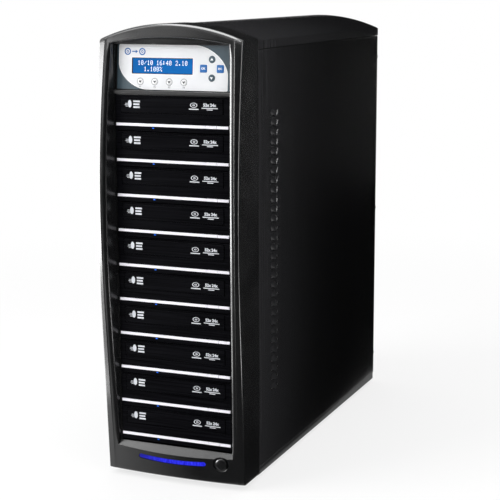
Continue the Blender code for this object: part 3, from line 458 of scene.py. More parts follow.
def pillow(outline, back, front, edge, crown=0.0, levels=4, inner=(0.5, 0.8, 0.95)):
    """A cap with a round front edge and a crowned face. The outline is a function of how far it shrinks."""
    rings = [[(x, back, z) for x, z in outline(0)]]
    for i in range(levels + 1):
        angle = math.pi / 2 * i / levels
        shrink, y = edge * (1 - math.cos(angle)), front + edge * (1 - math.sin(angle))
        rings.append([(x, y, z) for x, z in outline(shrink)])
    base = outline(edge)
    centre_x = sum(x for x, z in base) / len(base)
    centre_z = sum(z for x, z in base) / len(base)
    for share in inner:
        y = front - crown * (1 - (1 - share) ** 2)
        rings.append(
            [
                (centre_x + (x - centre_x) * (1 - share), y, centre_z + (z - centre_z) * (1 - share))
                for x, z in base
            ]
        )
    return through(rings)


# Geometry nodes for what repeats


def new_tree(name, inputs):
    """A geometry node tree with named inputs and its group ends."""
    tree = bpy.data.node_groups.new(name, "GeometryNodeTree")
    tree.interface.new_socket("Geometry", in_out="OUTPUT", socket_type="NodeSocketGeometry")
    for label, kind in inputs:
        tree.interface.new_socket(label, in_out="INPUT", socket_type="NodeSocket" + kind)
    return tree, tree.nodes.new("NodeGroupInput"), tree.nodes.new("NodeGroupOutput")


def end_tree(tree, start, end, points):
    """Puts a real copy of the shape at each point and gives the copies their finish."""
    info = tree.nodes.new("GeometryNodeObjectInfo")
    copies = tree.nodes.new("GeometryNodeInstanceOnPoints")
    real = tree.nodes.new("GeometryNodeRealizeInstances")
    paint = tree.nodes.new("GeometryNodeSetMaterial")
    for giver, taker in (
        (start.outputs["Shape"], info.inputs["Object"]),
        (points, copies.inputs["Points"]),
        (info.outputs["Geometry"], copies.inputs["Instance"]),
        (copies.outputs["Instances"], real.inputs["Geometry"]),
        (real.outputs["Geometry"], paint.inputs["Geometry"]),
        (start.outputs["Finish"], paint.inputs["Material"]),
        (paint.outputs["Geometry"], end.inputs["Geometry"]),
    ):
        tree.links.new(giver, taker)
    return copies


def row_tree():
    """Copies of one shape in a row, by count, start and step."""
    name = "Row of copies"
    inputs = (("Shape", "Object"), ("Count", "Int"), ("Start", "Vector"), ("Step", "Vector"))
    inputs += (("Finish", "Material"),)
    if name not in bpy.data.node_groups:
        tree, start, end = new_tree(name, inputs)
        line = tree.nodes.new("GeometryNodeMeshLine")
        line.mode = "OFFSET"
        for giver, taker in (("Count", "Count"), ("Start", "Start Location"), ("Step", "Offset")):
            tree.links.new(start.outputs[giver], line.inputs[taker])
        end_tree(tree, start, end, line.outputs["Mesh"])
    return bpy.data.node_groups[name]


def places_tree():
    """Copies of one shape at the points of a mesh, each as large as a size input says."""
    name = "Copies at places"
    inputs = (("Places", "Object"), ("Shape", "Object"), ("Size", "Float"), ("Finish", "Material"))
    if name not in bpy.data.node_groups:
        tree, start, end = new_tree(name, inputs)
        places = tree.nodes.new("GeometryNodeObjectInfo")
        tree.links.new(start.outputs["Places"], places.inputs["Object"])
        copies = end_tree(tree, start, end, places.outputs["Geometry"])
        tree.links.new(start.outputs["Size"], copies.inputs["Scale"])
    return bpy.data.node_groups[name]


def grown(tree, finish, **values):
    """The plain mesh that a node tree makes from these inputs, in one finish."""
    values["Finish"] = finish_of(finish)
    holder = new_object("holder", bpy.data.meshes.new("empty"))
    modifier = holder.modifiers.new("Nodes", "NODES")
    modifier.node_group = tree
    for item in tree.interface.items_tree:
        if item.item_type == "SOCKET" and item.in_out == "INPUT":
            modifier[item.identifier] = values[item.name]
    made = evaluated(holder)
    made.polygons.foreach_set("material_index", [0] * len(made.polygons))
    made.materials.clear()
    made.materials.append(values["Finish"])
    return made


def row_of(mesh, count, start, step, finish):
    """One mesh repeated in a row."""
    shape = new_object("shape", mesh)
    made = grown(row_tree(), finish, Shape=shape, Count=count, Start=start, Step=step)
    bpy.data.objects.remove(shape)
    return made


def copies_at(mesh, points, finish):
    """One mesh repeated at each of these points."""
    cloud = bpy.data.meshes.new("places")
    cloud.from_pydata(points, [], [])
    places, shape = new_object("places", cloud), new_object("shape", mesh)
    made = grown(places_tree(), finish, Places=places, Shape=shape, Size=1.0)
    for used in (places, shape):
        bpy.data.objects.remove(used)
    return made


# Finishes


def new_node(tree, kind, **inputs):
    """A node with some of its sockets set or linked, by name."""
    made = tree.nodes.new(kind)
    for label, value in inputs.items():
        socket = made.inputs[label.replace("_", " ")]
        if isinstance(value, bpy.types.NodeSocket):
            tree.links.new(value, socket)
        else:
            socket.default_value = value
    return made


def mapped(tree, value, start, end, low, high, **settings):
    """A value's range from start to end, mapped to low and high."""
    limits = {"From_Min": start, "From_Max": end, "To_Min": low, "To_Max": high}
    made = new_node(tree, "ShaderNodeMapRange", Value=value, **limits)
    for name, setting in settings.items():
        setattr(made, name, setting)
    return made.outputs["Result"]


class Finish:
    """A procedural finish on Object coordinates, built step by step."""

    def __init__(self, name, colour, roughness, metallic=0.0, **sockets):
        self.material = bpy.data.materials.new(name)
        self.material.use_nodes = True
        self.material.diffuse_color = (*colour, 1.0)
        self.tree = self.material.node_tree
        self.shader = self.tree.nodes["Principled BSDF"]
        self.colour = colour
        self.roughness = roughness
        self.shader.inputs["Base Color"].default_value = (*colour, 1.0)
        self.shader.inputs["Roughness"].default_value = roughness
        self.shader.inputs["Metallic"].default_value = metallic
        for label, value in sockets.items():
            self.shader.inputs[label.replace("_", " ").title().replace("Ior", "IOR")].default_value = value
        self.place = self.tree.nodes.new("ShaderNodeTexCoord").outputs["Object"]

    def node(self, kind, **inputs):
        """A node of this finish."""
        return new_node(self.tree, kind, **inputs)

    def noise(self, scale, detail=3.0, stretch=(1, 1, 1), distortion=0.0):
        """Noise from 0 to 1, stretched along the axes."""
        place = self.node("ShaderNodeMapping", Vector=self.place, Scale=stretch).outputs["Vector"]
        settings = {"Scale": scale, "Detail": detail, "Roughness": 0.55, "Distortion": distortion}
        return self.node("ShaderNodeTexNoise", Vector=place, **settings).outputs["Fac"]

    def ranged(self, value, low, high, start=0.3, end=0.7):
        """The value between two places of its range, mapped to low and high."""
        return mapped(self.tree, value, start, end, low, high)

    def mixed(self, share, first, second):
        """Two colours mixed by a share."""
        made = self.tree.nodes.new("ShaderNodeMix")
        made.data_type = "RGBA"
        for index, value in ((0, share), (6, first), (7, second)):
            if isinstance(value, bpy.types.NodeSocket):
                self.tree.links.new(value, made.inputs[index])
            else:
                made.inputs[index].default_value = value if index == 0 else (*value, 1.0)
        return made.outputs[2]

    def vary_colour(self, value, darker, lighter, start=0.3, end=0.7):
        """The colour between a darker and a lighter share of itself."""
        low = tuple(min(1.0, part * darker) for part in self.colour)
        high = tuple(min(1.0, part * lighter) for part in self.colour)
        share = self.ranged(value, 0.0, 1.0, start, end)
        self.tree.links.new(self.mixed(share, low, high), self.shader.inputs["Base Color"])
        return self

    def vary_roughness(self, value, spread, start=0.3, end=0.7):
        """Roughness that varies this far to both sides."""
        result = self.ranged(value, self.roughness - spread, self.roughness + spread, start, end)
        self.tree.links.new(result, self.shader.inputs["Roughness"])
        return self

    def relief(self, value, depth, strength=1.0):
        """A bump as deep as this many metres."""
        normal = self.shader.inputs["Normal"]
        made = self.node("ShaderNodeBump", Height=value, Distance=depth, Strength=strength)
        if normal.is_linked:
            self.tree.links.new(normal.links[0].from_socket, made.inputs["Normal"])
        self.tree.links.new(made.outputs["Normal"], normal)
        return self


def finish_of(name):
    """The material of this name, made once."""
    made = bpy.data.materials.get(name)
    if made:
        return made
    colours = bpy.context.scene.duplicator_finishes
    if name in MAKERS:
        return MAKERS[name](colours)
    colour, roughness, settings = PLAIN_FINISHES[name]
    if isinstance(colour, str):
        colour = getattr(colours, colour)
    return plain_grain(name, colour, roughness, **settings)


def paled(colour, factor):
    """A colour times a factor."""
    return [factor * part for part in colour]


def satin_charcoal(colours):
    """Charcoal moulding with a satin gloss."""
    made = Finish("satin_charcoal", colours.bezel, 0.21, specular_ior_level=0.8)
    cloud = made.noise(38, 4)
    made.vary_colour(cloud, 0.85, 1.15).vary_roughness(cloud, 0.03)
    made.relief(made.noise(1100, 2), 0.0000004, 0.1)
    return made.material


def enamel_with_painted_sheen(name, near, far, power):
    """Black sheet with faint streaks and a painted sheen: its colour is painted paler towards the front, as
    light caught there.
    """
    made = Finish(name, tuple(far), 0.20, 0.0, specular_ior_level=0.08)
    streak = made.noise(420, 3, (1, 1, 0.012))
    along = made.node("ShaderNodeSeparateXYZ", Vector=made.place).outputs["Y"]
    # Painted sheen: a share that rises towards the front of the case and lightens the colour there
    front = made.node("ShaderNodeMath")
    front.operation = "POWER"
    made.tree.links.new(made.ranged(along, 1.0, 0.0, CASE_Y, CASE_Y + 0.35), front.inputs[0])
    front.inputs[1].default_value = power
    painted_sheen_colour = made.mixed(front.outputs[0], far, near)
    dark = made.mixed(front.outputs[0], paled(far, 0.5), paled(near, 0.7))
    colour = made.mixed(made.ranged(streak, 0.0, 1.0), dark, painted_sheen_colour)
    made.tree.links.new(colour, made.shader.inputs["Base Color"])
    made.vary_roughness(streak, 0.04).relief(made.noise(1500, 2), 0.000003, 0.2)
    return made.material


def zinc_plate(colours):
    """Zinc plate with a soft spangle."""
    made = Finish("zinc_plate", colours.plate, 0.36, 1.0)
    spangle = made.noise(160, 3, distortion=0.8)
    made.vary_colour(spangle, 0.82, 1.1).vary_roughness(spangle, 0.09)
    made.relief(made.noise(900, 3, (1, 1, 0.15)), 0.00001, 0.3)
    return made.material


def brushed(name, colour):
    """Black front of a drive or a tray, brushed from side to side."""
    made = Finish(name, colour, 0.28, specular_ior_level=0.035)
    brush = made.noise(900, 3, (0.012, 1, 1.3))
    made.vary_colour(brush, 0.4, 2.2).vary_roughness(brush, 0.06)
    made.relief(brush, 0.000004, 0.4)
    return made.material


def silver_lacquer(colours):
    """Silver lacquer of the drives' strips."""
    made = Finish("silver_lacquer", colours.silver, 0.30, 0.0)
    flake = made.noise(1800, 3)
    made.vary_colour(flake, 0.97, 1.03).vary_roughness(flake, 0.05)
    made.relief(flake, 0.000002, 0.2)
    return made.material


def overlay_grey(colours):
    """Light grey overlay of the keypad."""
    made = Finish("overlay_grey", colours.overlay, 0.42)
    grain = made.noise(3000, 3)
    made.vary_colour(made.noise(45, 3), 0.97, 1.02).vary_roughness(grain, 0.05)
    made.relief(grain, 0.000006, 0.4)
    return made.material


def plain_grain(name, colour, roughness, scale=2600, depth=0.000008, spread=0.05, metallic=0.0, **sockets):
    """A plain finish with a grain and a little unevenness."""
    made = Finish(name, colour, roughness, metallic, **sockets)
    grain = made.noise(scale, 3)
    made.vary_colour(made.noise(70, 3), 0.9, 1.1).vary_roughness(grain, spread)
    made.relief(grain, depth, 0.4)
    return made.material


def display_pane(colours):
    """Blue display behind glass, lit from behind, brighter towards its middle."""
    made = Finish("display_pane", colours.display, 0.16, emission_strength=0.22, specular_ior_level=0.15)
    glow = made.noise(26, 2)
    made.vary_colour(glow, 0.85, 1.15)
    lit = made.mixed(made.ranged(glow, 0.0, 1.0), (0.0, 0.09, 0.34), (0.002, 0.13, 0.44))
    made.tree.links.new(lit, made.shader.inputs["Emission Color"])
    made.relief(made.noise(2200, 2), 0.000002, 0.2)
    return made.material


def blue_lens(colours):
    """Clear blue lens, lit from behind from its right end, with streaks in its length."""
    made = Finish("blue_lens", colours.lens, 0.12, emission_strength=1.0, specular_ior_level=0.2)
    streak = made.noise(420, 4, (1, 1, 0.25), distortion=0.4)
    across = made.node("ShaderNodeSeparateXYZ", Vector=made.place).outputs["X"]
    lit = made.ranged(across, 0.06, 1.0, LIGHT_X - 0.036, LIGHT_X - 0.014)
    bright = made.mixed(made.ranged(streak, 0.0, 1.0, 0.42, 0.70), (0.002, 0.003, 0.34), (0.05, 0.06, 0.92))
    colour = made.mixed(lit, (0.0, 0.0, 0.02), bright)
    made.tree.links.new(colour, made.shader.inputs["Emission Color"])
    made.relief(streak, 0.00002, 0.3)
    return made.material


MAKERS = {
    "satin_charcoal": satin_charcoal,
    # Both enamels carry painted light: a sheen painted paler towards the front
    "black_enamel": lambda c: enamel_with_painted_sheen("black_enamel", paled(c.case, PANEL_FRONT_PAINTED_SHEEN), c.case, 2.5),
    # The cover's enamel is also painted paler overall, as painted light on its top
    "cover_enamel": lambda c: enamel_with_painted_sheen(
        "cover_enamel", paled(c.case, PANEL_FRONT_PAINTED_SHEEN), paled(c.case, COVER_PAINTED_LIGHT), 1.0
    ),
    "zinc_plate": zinc_plate,
    "brushed_black": lambda c: brushed("brushed_black", c.drive),
    "grained_black": lambda c: brushed("grained_black", c.tray),
    "silver_lacquer": silver_lacquer,
    "overlay_grey": overlay_grey,
    "display_pane": display_pane,
    "blue_lens": blue_lens,
}

# A colour or the name of a colour setting, a roughness, and the rest that plain_grain takes
PLAIN_FINISHES = {
    "overlay_black": ((0.012, 0.012, 0.013), 0.45, {}),
    "overlay_slate_ink": ("slate", 0.42, {}),
    "overlay_white": ((0.92, 0.92, 0.92), 0.40, {}),
    "slate_cap": ("key_slate", 0.35, {}),
    "blue_cap": ("key_blue", 0.32, {}),
    "light_cap": ("key_light", 0.36, {}),
    "white_ink": ((0.85, 0.86, 0.88), 0.50, {}),
    "door_ink": ((0.62, 0.64, 0.68), 0.50, {}),
    "dark_ink": ((0.045, 0.050, 0.055), 0.50, {}),
    "grey_ink": ((0.10, 0.11, 0.12), 0.50, {}),
    "blue_ink": ((0.004, 0.110, 0.360), 0.45, {}),
    "display_dots": (
        (0.85, 0.93, 1.0), 0.40, {"emission_color": (0.75, 0.88, 1.0, 1.0), "emission_strength": 0.45}
    ),
    "drive_light": (
        (0.01, 0.05, 0.30), 0.20, {"emission_color": (0.0, 0.11, 0.70, 1.0), "emission_strength": 1.4}
    ),
    "fan_nylon": ((0.014, 0.014, 0.015), 0.42, {"scale": 2000, "depth": 0.000012}),
    "soft_rubber": ((0.015, 0.015, 0.015), 0.85, {"scale": 1500, "depth": 0.00003, "spread": 0.08}),
    "board_green": ((0.010, 0.060, 0.025), 0.40, {}),
    "nickel": ((0.62, 0.60, 0.56), 0.25, {"scale": 1200, "depth": 0.000004, "spread": 0.06, "metallic": 1.0}),
    "screw_black": (
        (0.020, 0.020, 0.022), 0.35, {"scale": 1800, "depth": 0.00001, "spread": 0.06, "metallic": 0.5}
    ),
}


# Front moulding


def reach(z):
    """How far the front stands before the drives' faces at this height."""
    if z > CREST_Z:
        share = (z - CREST_Z) / (EAVES_Z - CREST_Z)
        return CREST_REACH - (CREST_REACH - TOP_REACH) * share**2
    share = (CREST_Z - z) / (CREST_Z - BASE_Z)
    fall = share**2 if share < BEND_SHARE else BEND_SHARE * (2 * share - BEND_SHARE)
    return CREST_REACH - (CREST_REACH - FOOT_REACH) * fall / (BEND_SHARE * (2 - BEND_SHARE))


def front_y(x, z):
    """The bowed surface through the ridges of the front."""
    across = min(abs(x), RAIL_X) / BEZEL_HALF
    return FACE_Y - reach(z) - PLAN_BOW * (1 - across**2)


def land_width(z):
    """Width of the outer land, narrowest at the crest of the bow."""
    return LAND_AT_CREST + LAND_TAPER * (1 - reach(z) / CREST_REACH)


def rounding(inset, radius):
    """How far a round edge falls back this far in from the outline."""
    if inset >= radius:
        return 0.0
    return radius - math.sqrt(max(0.0, radius**2 - (radius - inset) ** 2))


def corner_turn(z):
    """Slope of the land and where the round corner beside it starts and ends."""
    land = land_width(z)
    fall = LAND_FALL + LAND_TILT * land
    tilt = math.atan(fall / land)
    start = fall + CORNER_RADIUS * math.tan((math.pi / 2 - tilt) / 2)
    return land, fall, tilt, start


def side_depth(inset, z):
    """How far the front lies behind its ridges, this far in from its side."""
    land, fall, tilt, start = corner_turn(z)
    if inset < CORNER_RADIUS * (1 - math.sin(tilt)):
        return start - math.sqrt(max(0.0, CORNER_RADIUS**2 - (CORNER_RADIUS - inset) ** 2))
    beyond = inset - land
    outer = -beyond * fall / land
    step = 0.0005
    inner = 0.6 * min(beyond, step) + 0.06 * max(0.0, beyond - step)
    inner = min(inner, BAND_DEPTH)
    return (outer + inner) / 2 + math.sqrt(((outer - inner) / 2) ** 2 + 0.00006**2)


def head_z(x):
    """Height of the moulding's arched top."""
    return EAVES_Z + BEZEL_HALF - CASE_HALF + arch_height(x, BEZEL_HALF, DOME_RISE)


def surface_y(x, z):
    """The front surface with its lands and round edges."""
    depth = side_depth(BEZEL_HALF - abs(x), z)
    depth += rounding(z - BEZEL_FLOOR_Z, CORNER_RADIUS)
    depth += rounding(head_z(x) - z, HEAD_RADIUS)
    return front_y(x, z) + depth


def side_insets(z):
    """Where the outer stations of the moulding's section lie, in from its side."""
    land, _, tilt, _ = corner_turn(z)
    turn = math.pi / 2 - tilt
    insets = [0, 0] + [CORNER_RADIUS * (1 - math.cos(turn * i / 4)) for i in range(5)]
    end = insets[-1]
    return insets + [end + 0.0006, land - 0.0006, land - 0.0002, land + 0.0002, land + 0.0005, land + 0.0012]


HEAD_INSETS = [0, 0] + [HEAD_RADIUS * (1 - math.cos(math.pi / 16 * i)) for i in range(9)]
HEAD_INSETS += [HEAD_RADIUS + 0.0004, HEAD_RADIUS + 0.001]
FOOT_INSETS = [0, 0] + [CORNER_RADIUS * (1 - math.cos(math.pi / 8 * i)) for i in range(5)]
FOOT_INSETS += [CORNER_RADIUS + 0.0003 * i for i in range(1, 7)]
OUTER_STATIONS = len(HEAD_INSETS)
BAND_STATIONS = 5
EDGE_STATIONS = 8
WALL_STATIONS = 3
LEDGE_SHARES = (0.25, 0.75, 1.0)


def window_top(x):
    """Height of the window's head at the drives' faces."""
    return FASCIA_TOP_Z + arch_height(x, WINDOW_HALF, LIP_RISE)


def edge_profile(radius, flare, ahead):
    """The window's round edge and flared wall, as (outside the window, behind the front) pairs."""
    turn = math.pi / 2 - math.atan(flare)
    tangent = radius * math.tan(turn / 2)
    pairs = []
    for i in range(EDGE_STATIONS):
        angle = turn * i / (EDGE_STATIONS - 1)
        pairs.append((flare * ahead + tangent - radius * math.sin(angle), radius * (1 - math.cos(angle))))
    last = pairs[-1][1]
    for i in range(1, WALL_STATIONS + 1):
        depth = last + (ahead - 0.0002 - last) * i / WALL_STATIONS
        pairs.append((flare * (ahead - depth), depth))
    return pairs


def edge_section(radius, flare, edge, way, front):
    """The window's section as (place across the edge, y) pairs, out from the edge in one way.

    The section assumes how far the front stands ahead, which front gives for a place, so this settles it.
    """
    ahead = 0.010
    for _ in range(6):
        profile = edge_profile(radius, flare, ahead)
        start_y = front(edge + way * profile[0][0])
        ahead = FACE_Y - start_y
    return [(edge + way * out, start_y + depth) for out, depth in profile]


def window_corner(top):
    """(x, z, y) of each station of the window's edge at its upper or lower right corner."""
    flare, up = (HEAD_FLARE, 1) if top else (SILL_FLARE, -1)

    def height(x, out):
        return (window_top(x) if top else SILL_Z) + up * out

    ahead = 0.006
    for _ in range(6):
        sides = edge_profile(WINDOW_CORNER_RADIUS, SIDE_FLARE, ahead)
        ends = edge_profile(WINDOW_CORNER_RADIUS, flare, ahead)
        x = WINDOW_HALF + sides[0][0]
        start_y = surface_y(x, height(x, ends[0][0]))
        ahead = FACE_Y - start_y
    corner = []
    for (side_out, side_back), (end_out, end_back) in zip(sides, ends):
        x = WINDOW_HALF + side_out
        corner.append((x, height(x, end_out), start_y + (side_back + end_back) / 2))
    return corner


def spaced(length, near, step):
    """Shares from 0 to 1 along a run, close together near both of its ends."""
    shares = [place / length for place in near]
    count = max(1, round((length - 2 * near[-1]) / step))
    first, last = shares[-1], 1 - shares[-1]
    middle = [first + (last - first) * i / count for i in range(1, count)]
    return shares + middle + [1 - share for share in reversed(shares)]


SIDE_SHARES = spaced(0.530, (0, 0.0003, 0.0007, 0.0012, 0.0018, 0.0026, 0.004, 0.006, 0.009, 0.013), 0.006)
HEAD_SHARES = spaced(0.182, (0, 0.0006, 0.0013, 0.0022, 0.0034, 0.005, 0.0075, 0.011), 0.0028)
FOOT_SHARES = spaced(0.182, (0, 0.0006, 0.0014, 0.0026, 0.0045, 0.007, 0.011), 0.004)


def edge_radius(distance, ease, radius):
    """The edge's radius this far from a corner of the window, from the corner's own to that of the run."""
    share = min(1.0, max(0.0, distance / ease))
    share = share * share * (3 - 2 * share)
    return WINDOW_CORNER_RADIUS + (radius - WINDOW_CORNER_RADIUS) * share


def round_loop(bottom, right, top):
    """One loop round the front: each run is a function of its share that gives a point of the right half."""
    loop = [bottom(share) for share in FOOT_SHARES[:-1]]
    loop += [right(share) for share in SIDE_SHARES[:-1]]
    loop += [top(share) for share in HEAD_SHARES[:-1]]
    left = [right(share) for share in reversed(SIDE_SHARES[1:])]
    return loop + [(-x, y, z) for x, y, z in left]


def between(first, second, share):
    """A value between two others."""
    return first + (second - first) * share


def outer_loop(station):
    """A loop of the moulding's outer edge, land and ridge."""
    side_z = 0.535
    x_top = BEZEL_HALF - side_insets(side_z)[station]
    x_foot = BEZEL_HALF - side_insets(BEZEL_FLOOR_Z)[station]
    z_top = head_z(x_top) - HEAD_INSETS[station]
    z_foot = BEZEL_FLOOR_Z + FOOT_INSETS[station]
    extra = {0: None, 1: 0.0016}.get(station, 0.0)

    def point(x, z):
        y = SEAM_Y if extra is None else surface_y(x, z) + extra
        return (x, y, z)

    def right(share):
        z = between(z_foot, z_top, share)
        share_x = BEZEL_HALF - side_insets(min(z, side_z))[station]
        return point(share_x, z)

    def bottom(share):
        return point(x_foot * (2 * share - 1), z_foot)

    def top(share):
        x = x_top * (1 - 2 * share)
        return point(x, head_z(x) - HEAD_INSETS[station])

    return round_loop(bottom, right, top)


def edge_loops():
    """The loops of the window's round edge and its flared wall."""
    upper, lower = window_corner(True), window_corner(False)
    loops = []
    for station in range(EDGE_STATIONS + WALL_STATIONS):
        x_top, z_top, y_top = upper[station]
        x_foot, z_foot, y_foot = lower[station]

        def right(share):
            if share in (0, 1):
                return (x_foot, y_foot, z_foot) if share == 0 else (x_top, y_top, z_top)
            z = between(z_foot, z_top, share)
            radius = edge_radius(min(z - z_foot, z_top - z), SIDE_EASE, SIDE_EDGE_RADIUS)
            x, y = edge_section(radius, SIDE_FLARE, WINDOW_HALF, 1, lambda x: surface_y(x, z))[station]
            return (x, y, z)

        def bottom(share):
            x = x_foot * (2 * share - 1)
            if share in (0, 1):
                return (x, y_foot, z_foot)
            radius = edge_radius(x_foot - abs(x), END_EASE, SILL_EDGE_RADIUS)
            z, y = edge_section(radius, SILL_FLARE, SILL_Z, -1, lambda z: surface_y(x, z))[station]
            return (x, y, z)

        def top(share):
            x = x_top * (1 - 2 * share)
            if share in (0, 1):
                return (x, y_top, z_top)
            radius = edge_radius(x_top - abs(x), END_EASE, HEAD_EDGE_RADIUS)
            z, y = edge_section(radius, HEAD_FLARE, window_top(x), 1, lambda z: surface_y(x, z))[station]
            return (x, y, z)

        loops.append(round_loop(bottom, right, top))
    return loops


def flat_loop(half, low, high, y):
    """A loop in a plane across Y: half width, lower height, and the upper height as a function of x."""

    def bottom(share):
        return (half * (2 * share - 1), y, low)

    def right(share):
        return (half, y, between(low, high(half), share))

    def top(share):
        x = half * (1 - 2 * share)
        return (x, y, high(x))

    return round_loop(bottom, right, top)


def front_moulding():
    """The bowed front as one closed ring, from its rear rim over the front and back through the window."""
    loops = [outer_loop(station) for station in range(OUTER_STATIONS)]
    edges = edge_loops()
    for i in range(1, BAND_STATIONS + 1):
        share = i / (BAND_STATIONS + 1)
        loop = []
        for (x0, _, z0), (x1, _, z1) in zip(loops[OUTER_STATIONS - 1], edges[0]):
            x, z = between(x0, x1, share), between(z0, z1, share)
            loop.append((x, surface_y(x, z), z))
        loops.append(loop)
    loops += edges
    sill = SILL_Z + 0.0002
    for share in LEDGE_SHARES[:2]:
        half = between(WINDOW_HALF, OPENING_HALF, share)
        low = between(SILL_Z, sill, share)
        loops.append(flat_loop(half, low, lambda x: between(window_top(x), FASCIA_TOP_Z, share), FACE_Y))
    for y in (FACE_Y + FIT, FACE_Y + JAMB_DEPTH):
        loops.append(flat_loop(OPENING_HALF, sill, lambda x: FASCIA_TOP_Z, y))
    inner = BEZEL_HALF - BEZEL_WALL
    for y in (FACE_Y + JAMB_DEPTH, SEAM_Y):
        loops.append(flat_loop(inner, BEZEL_FLOOR_Z + BEZEL_WALL, lambda x: head_z(x) - BEZEL_WALL, y))
    return through(loops, around=True)


def smile(shrink):
    """The light bar's outline on the chin, smaller all round by this much."""
    length, thickness = LIGHT_LENGTH - 2 * shrink, LIGHT_THICKNESS - 2 * shrink
    half = length / 2 - thickness / 2
    radius = (half**2 + LIGHT_SAG**2) / (2 * LIGHT_SAG)
    spread = math.asin(half / radius)
    down = -math.pi / 2
    centre = (LIGHT_X, LIGHT_Z + radius - LIGHT_SAG / 2)
    lift = radius * math.cos(spread)
    right_end = (centre[0] + radius * math.sin(spread), centre[1] - lift)
    left_end = (centre[0] - radius * math.sin(spread), right_end[1])
    outer = arc(radius + thickness / 2, down - spread, down + spread, 40, centre)
    right = arc(thickness / 2, down + spread, spread + math.pi / 2, 10, right_end)
    inner = arc(radius - thickness / 2, down + spread, down - spread, 40, centre)
    left = arc(thickness / 2, math.pi / 2 - spread, 3 * math.pi / 2 - spread, 10, left_end)
    return outer[:-1] + right + inner[1:-1] + left[:-1]


def light_slot():
    """What the light bar's slot cuts, with an eased mouth."""
    rings = []
    for shrink, offset in ((-0.0008, -0.0012), (-0.00025, -0.0001), (0.0, 0.0004), (0.0, 0.009)):
        rings.append([(x, surface_y(x, z) + offset, z) for x, z in smile(shrink)])
    return through(rings)


def button_y():
    """Where the chin's surface lies at the middle of the power button."""
    return front_y(BUTTON_X, BUTTON_Z) + BAND_DEPTH


def button_dish():
    """What the power button's bore and its dish cut, with a round rim."""
    bore, pocket, bottom, rim = BUTTON_RADIUS + RUN, BUTTON_FLANGE + RUN, 0.022, DISH_RADIUS + 0.0006
    profile = [(0, bottom), (pocket, bottom), (pocket, BUTTON_LEDGE), (bore, BUTTON_LEDGE)]
    profile.append((bore, DISH_DEPTH + 0.0006))
    for i in range(9):
        turn = math.pi / 2 * i / 8
        profile.append((bore + 0.0002 + (DISH_RADIUS - bore) * math.sin(turn), DISH_DEPTH * math.cos(turn)))
    profile += [(rim, -0.0006), (rim, -OVERRUN), (0, -OVERRUN)]
    return placed(turned(profile, 64), (BUTTON_X, button_y(), BUTTON_Z))


def keypad_bar():
    """The bulged bar between the keypad and the drives."""
    middle, half = (OPENING_TOP_Z + FASCIA_Z) / 2, (FASCIA_Z - OPENING_TOP_Z) / 2
    bulge = ((0.0, -1.0), (0.75, -0.97), (1.25, -0.86), (1.55, -0.66), (1.62, -0.42), (1.56, -0.15))
    bulge += ((1.42, 0.12), (1.22, 0.38), (0.98, 0.60), (0.70, 0.79), (0.36, 0.93), (0.0, 1.0))
    profile = [(0.009, middle - half)]
    profile += [(0.0006 - 0.001 * proud, middle + half * up) for proud, up in bulge]
    profile.append((0.009, middle + half))
    end = WINDOW_HALF + SIDE_FLARE * 0.0012
    rings = [[(x, FACE_Y + y, z) for y, z in profile] for x in (-end, -0.04, 0.0, 0.04, end)]
    return through(rings)


class DUPLICATOR_OT_front(bpy.types.Operator):
    """Build the bowed front moulding with its window, light slot and dished button hole"""

    bl_idname = "duplicator.front"
    bl_label = "Front moulding"

    def execute(self, context):
        moulding = cut(front_moulding(), light_slot(), button_dish())
        mesh = smooth(joined([moulding, keypad_bar()]), 28)
        add_piece("front_moulding", mesh, "satin_charcoal", "bezel_plastic", ["front_bezel"])
        return {"FINISHED"}


class DUPLICATOR_OT_chin(bpy.types.Operator):
    """Build the light bar's lens and the domed power button"""

    bl_idname = "duplicator.chin"
    bl_label = "Light bar and power button"

    def execute(self, context):
        rings = [[(x, FACE_Y + LENS_BACK, z) for x, z in smile(0.0003)]]
        crown = ((0.0003, 0.0), (0.0004, 0.00015), (0.0007, 0.0003), (0.0012, 0.0004), (0.0024, 0.0005))
        for shrink, bulge in crown:
            rings.append([(x, surface_y(x, z) + 0.0007 - bulge, z) for x, z in smile(shrink)])
        add_piece("light_lens", smooth(through(rings)), "blue_lens", "light_blue", ["light_bar"])
        profile = [(0, -0.0020)]
        for i in range(1, 15):
            angle = math.pi / 2 * i / 14
            profile.append((BUTTON_RADIUS * math.sin(angle), -0.0002 - BUTTON_CROWN * math.cos(angle)))
        profile += [(BUTTON_RADIUS, 0.0049), (BUTTON_FLANGE, 0.0049), (BUTTON_FLANGE, 0.0061), (0, 0.0061)]
        button = smooth(placed(turned(profile, 64), (BUTTON_X, button_y(), BUTTON_Z)))
        add_piece("power_cap", button, "satin_charcoal", "bezel_plastic", ["power_button"], "power_key")
        return {"FINISHED"}


# Keypad


def keypad_place():
    """The keypad's own frame: x across, y into the tower, z up the tilted plate."""
    lean = (FASCIA_TOP_Z - FASCIA_Z) / 2 * math.tan(FASCIA_TILT)
    middle = Vector((0, FACE_Y + 0.003 + lean, (FASCIA_Z + FASCIA_TOP_Z) / 2))
    return Matrix.Translation(middle) @ Matrix.Rotation(-FASCIA_TILT, 4, "X")


def sweep(centre, across, up, start, end):
    """A quarter of a flattened ellipse, as points."""
    power, segments = 1.75, 24
    points = []
    for i in range(segments + 1):
        angle = math.radians(start + (end - start) * i / segments)
        c, s = math.cos(angle), math.sin(angle)
        x = math.copysign(abs(c) ** (2 / power), c)
        z = math.copysign(abs(s) ** (2 / power), s)
        points.append((centre[0] + across * x, centre[1] + up * z))
    return points


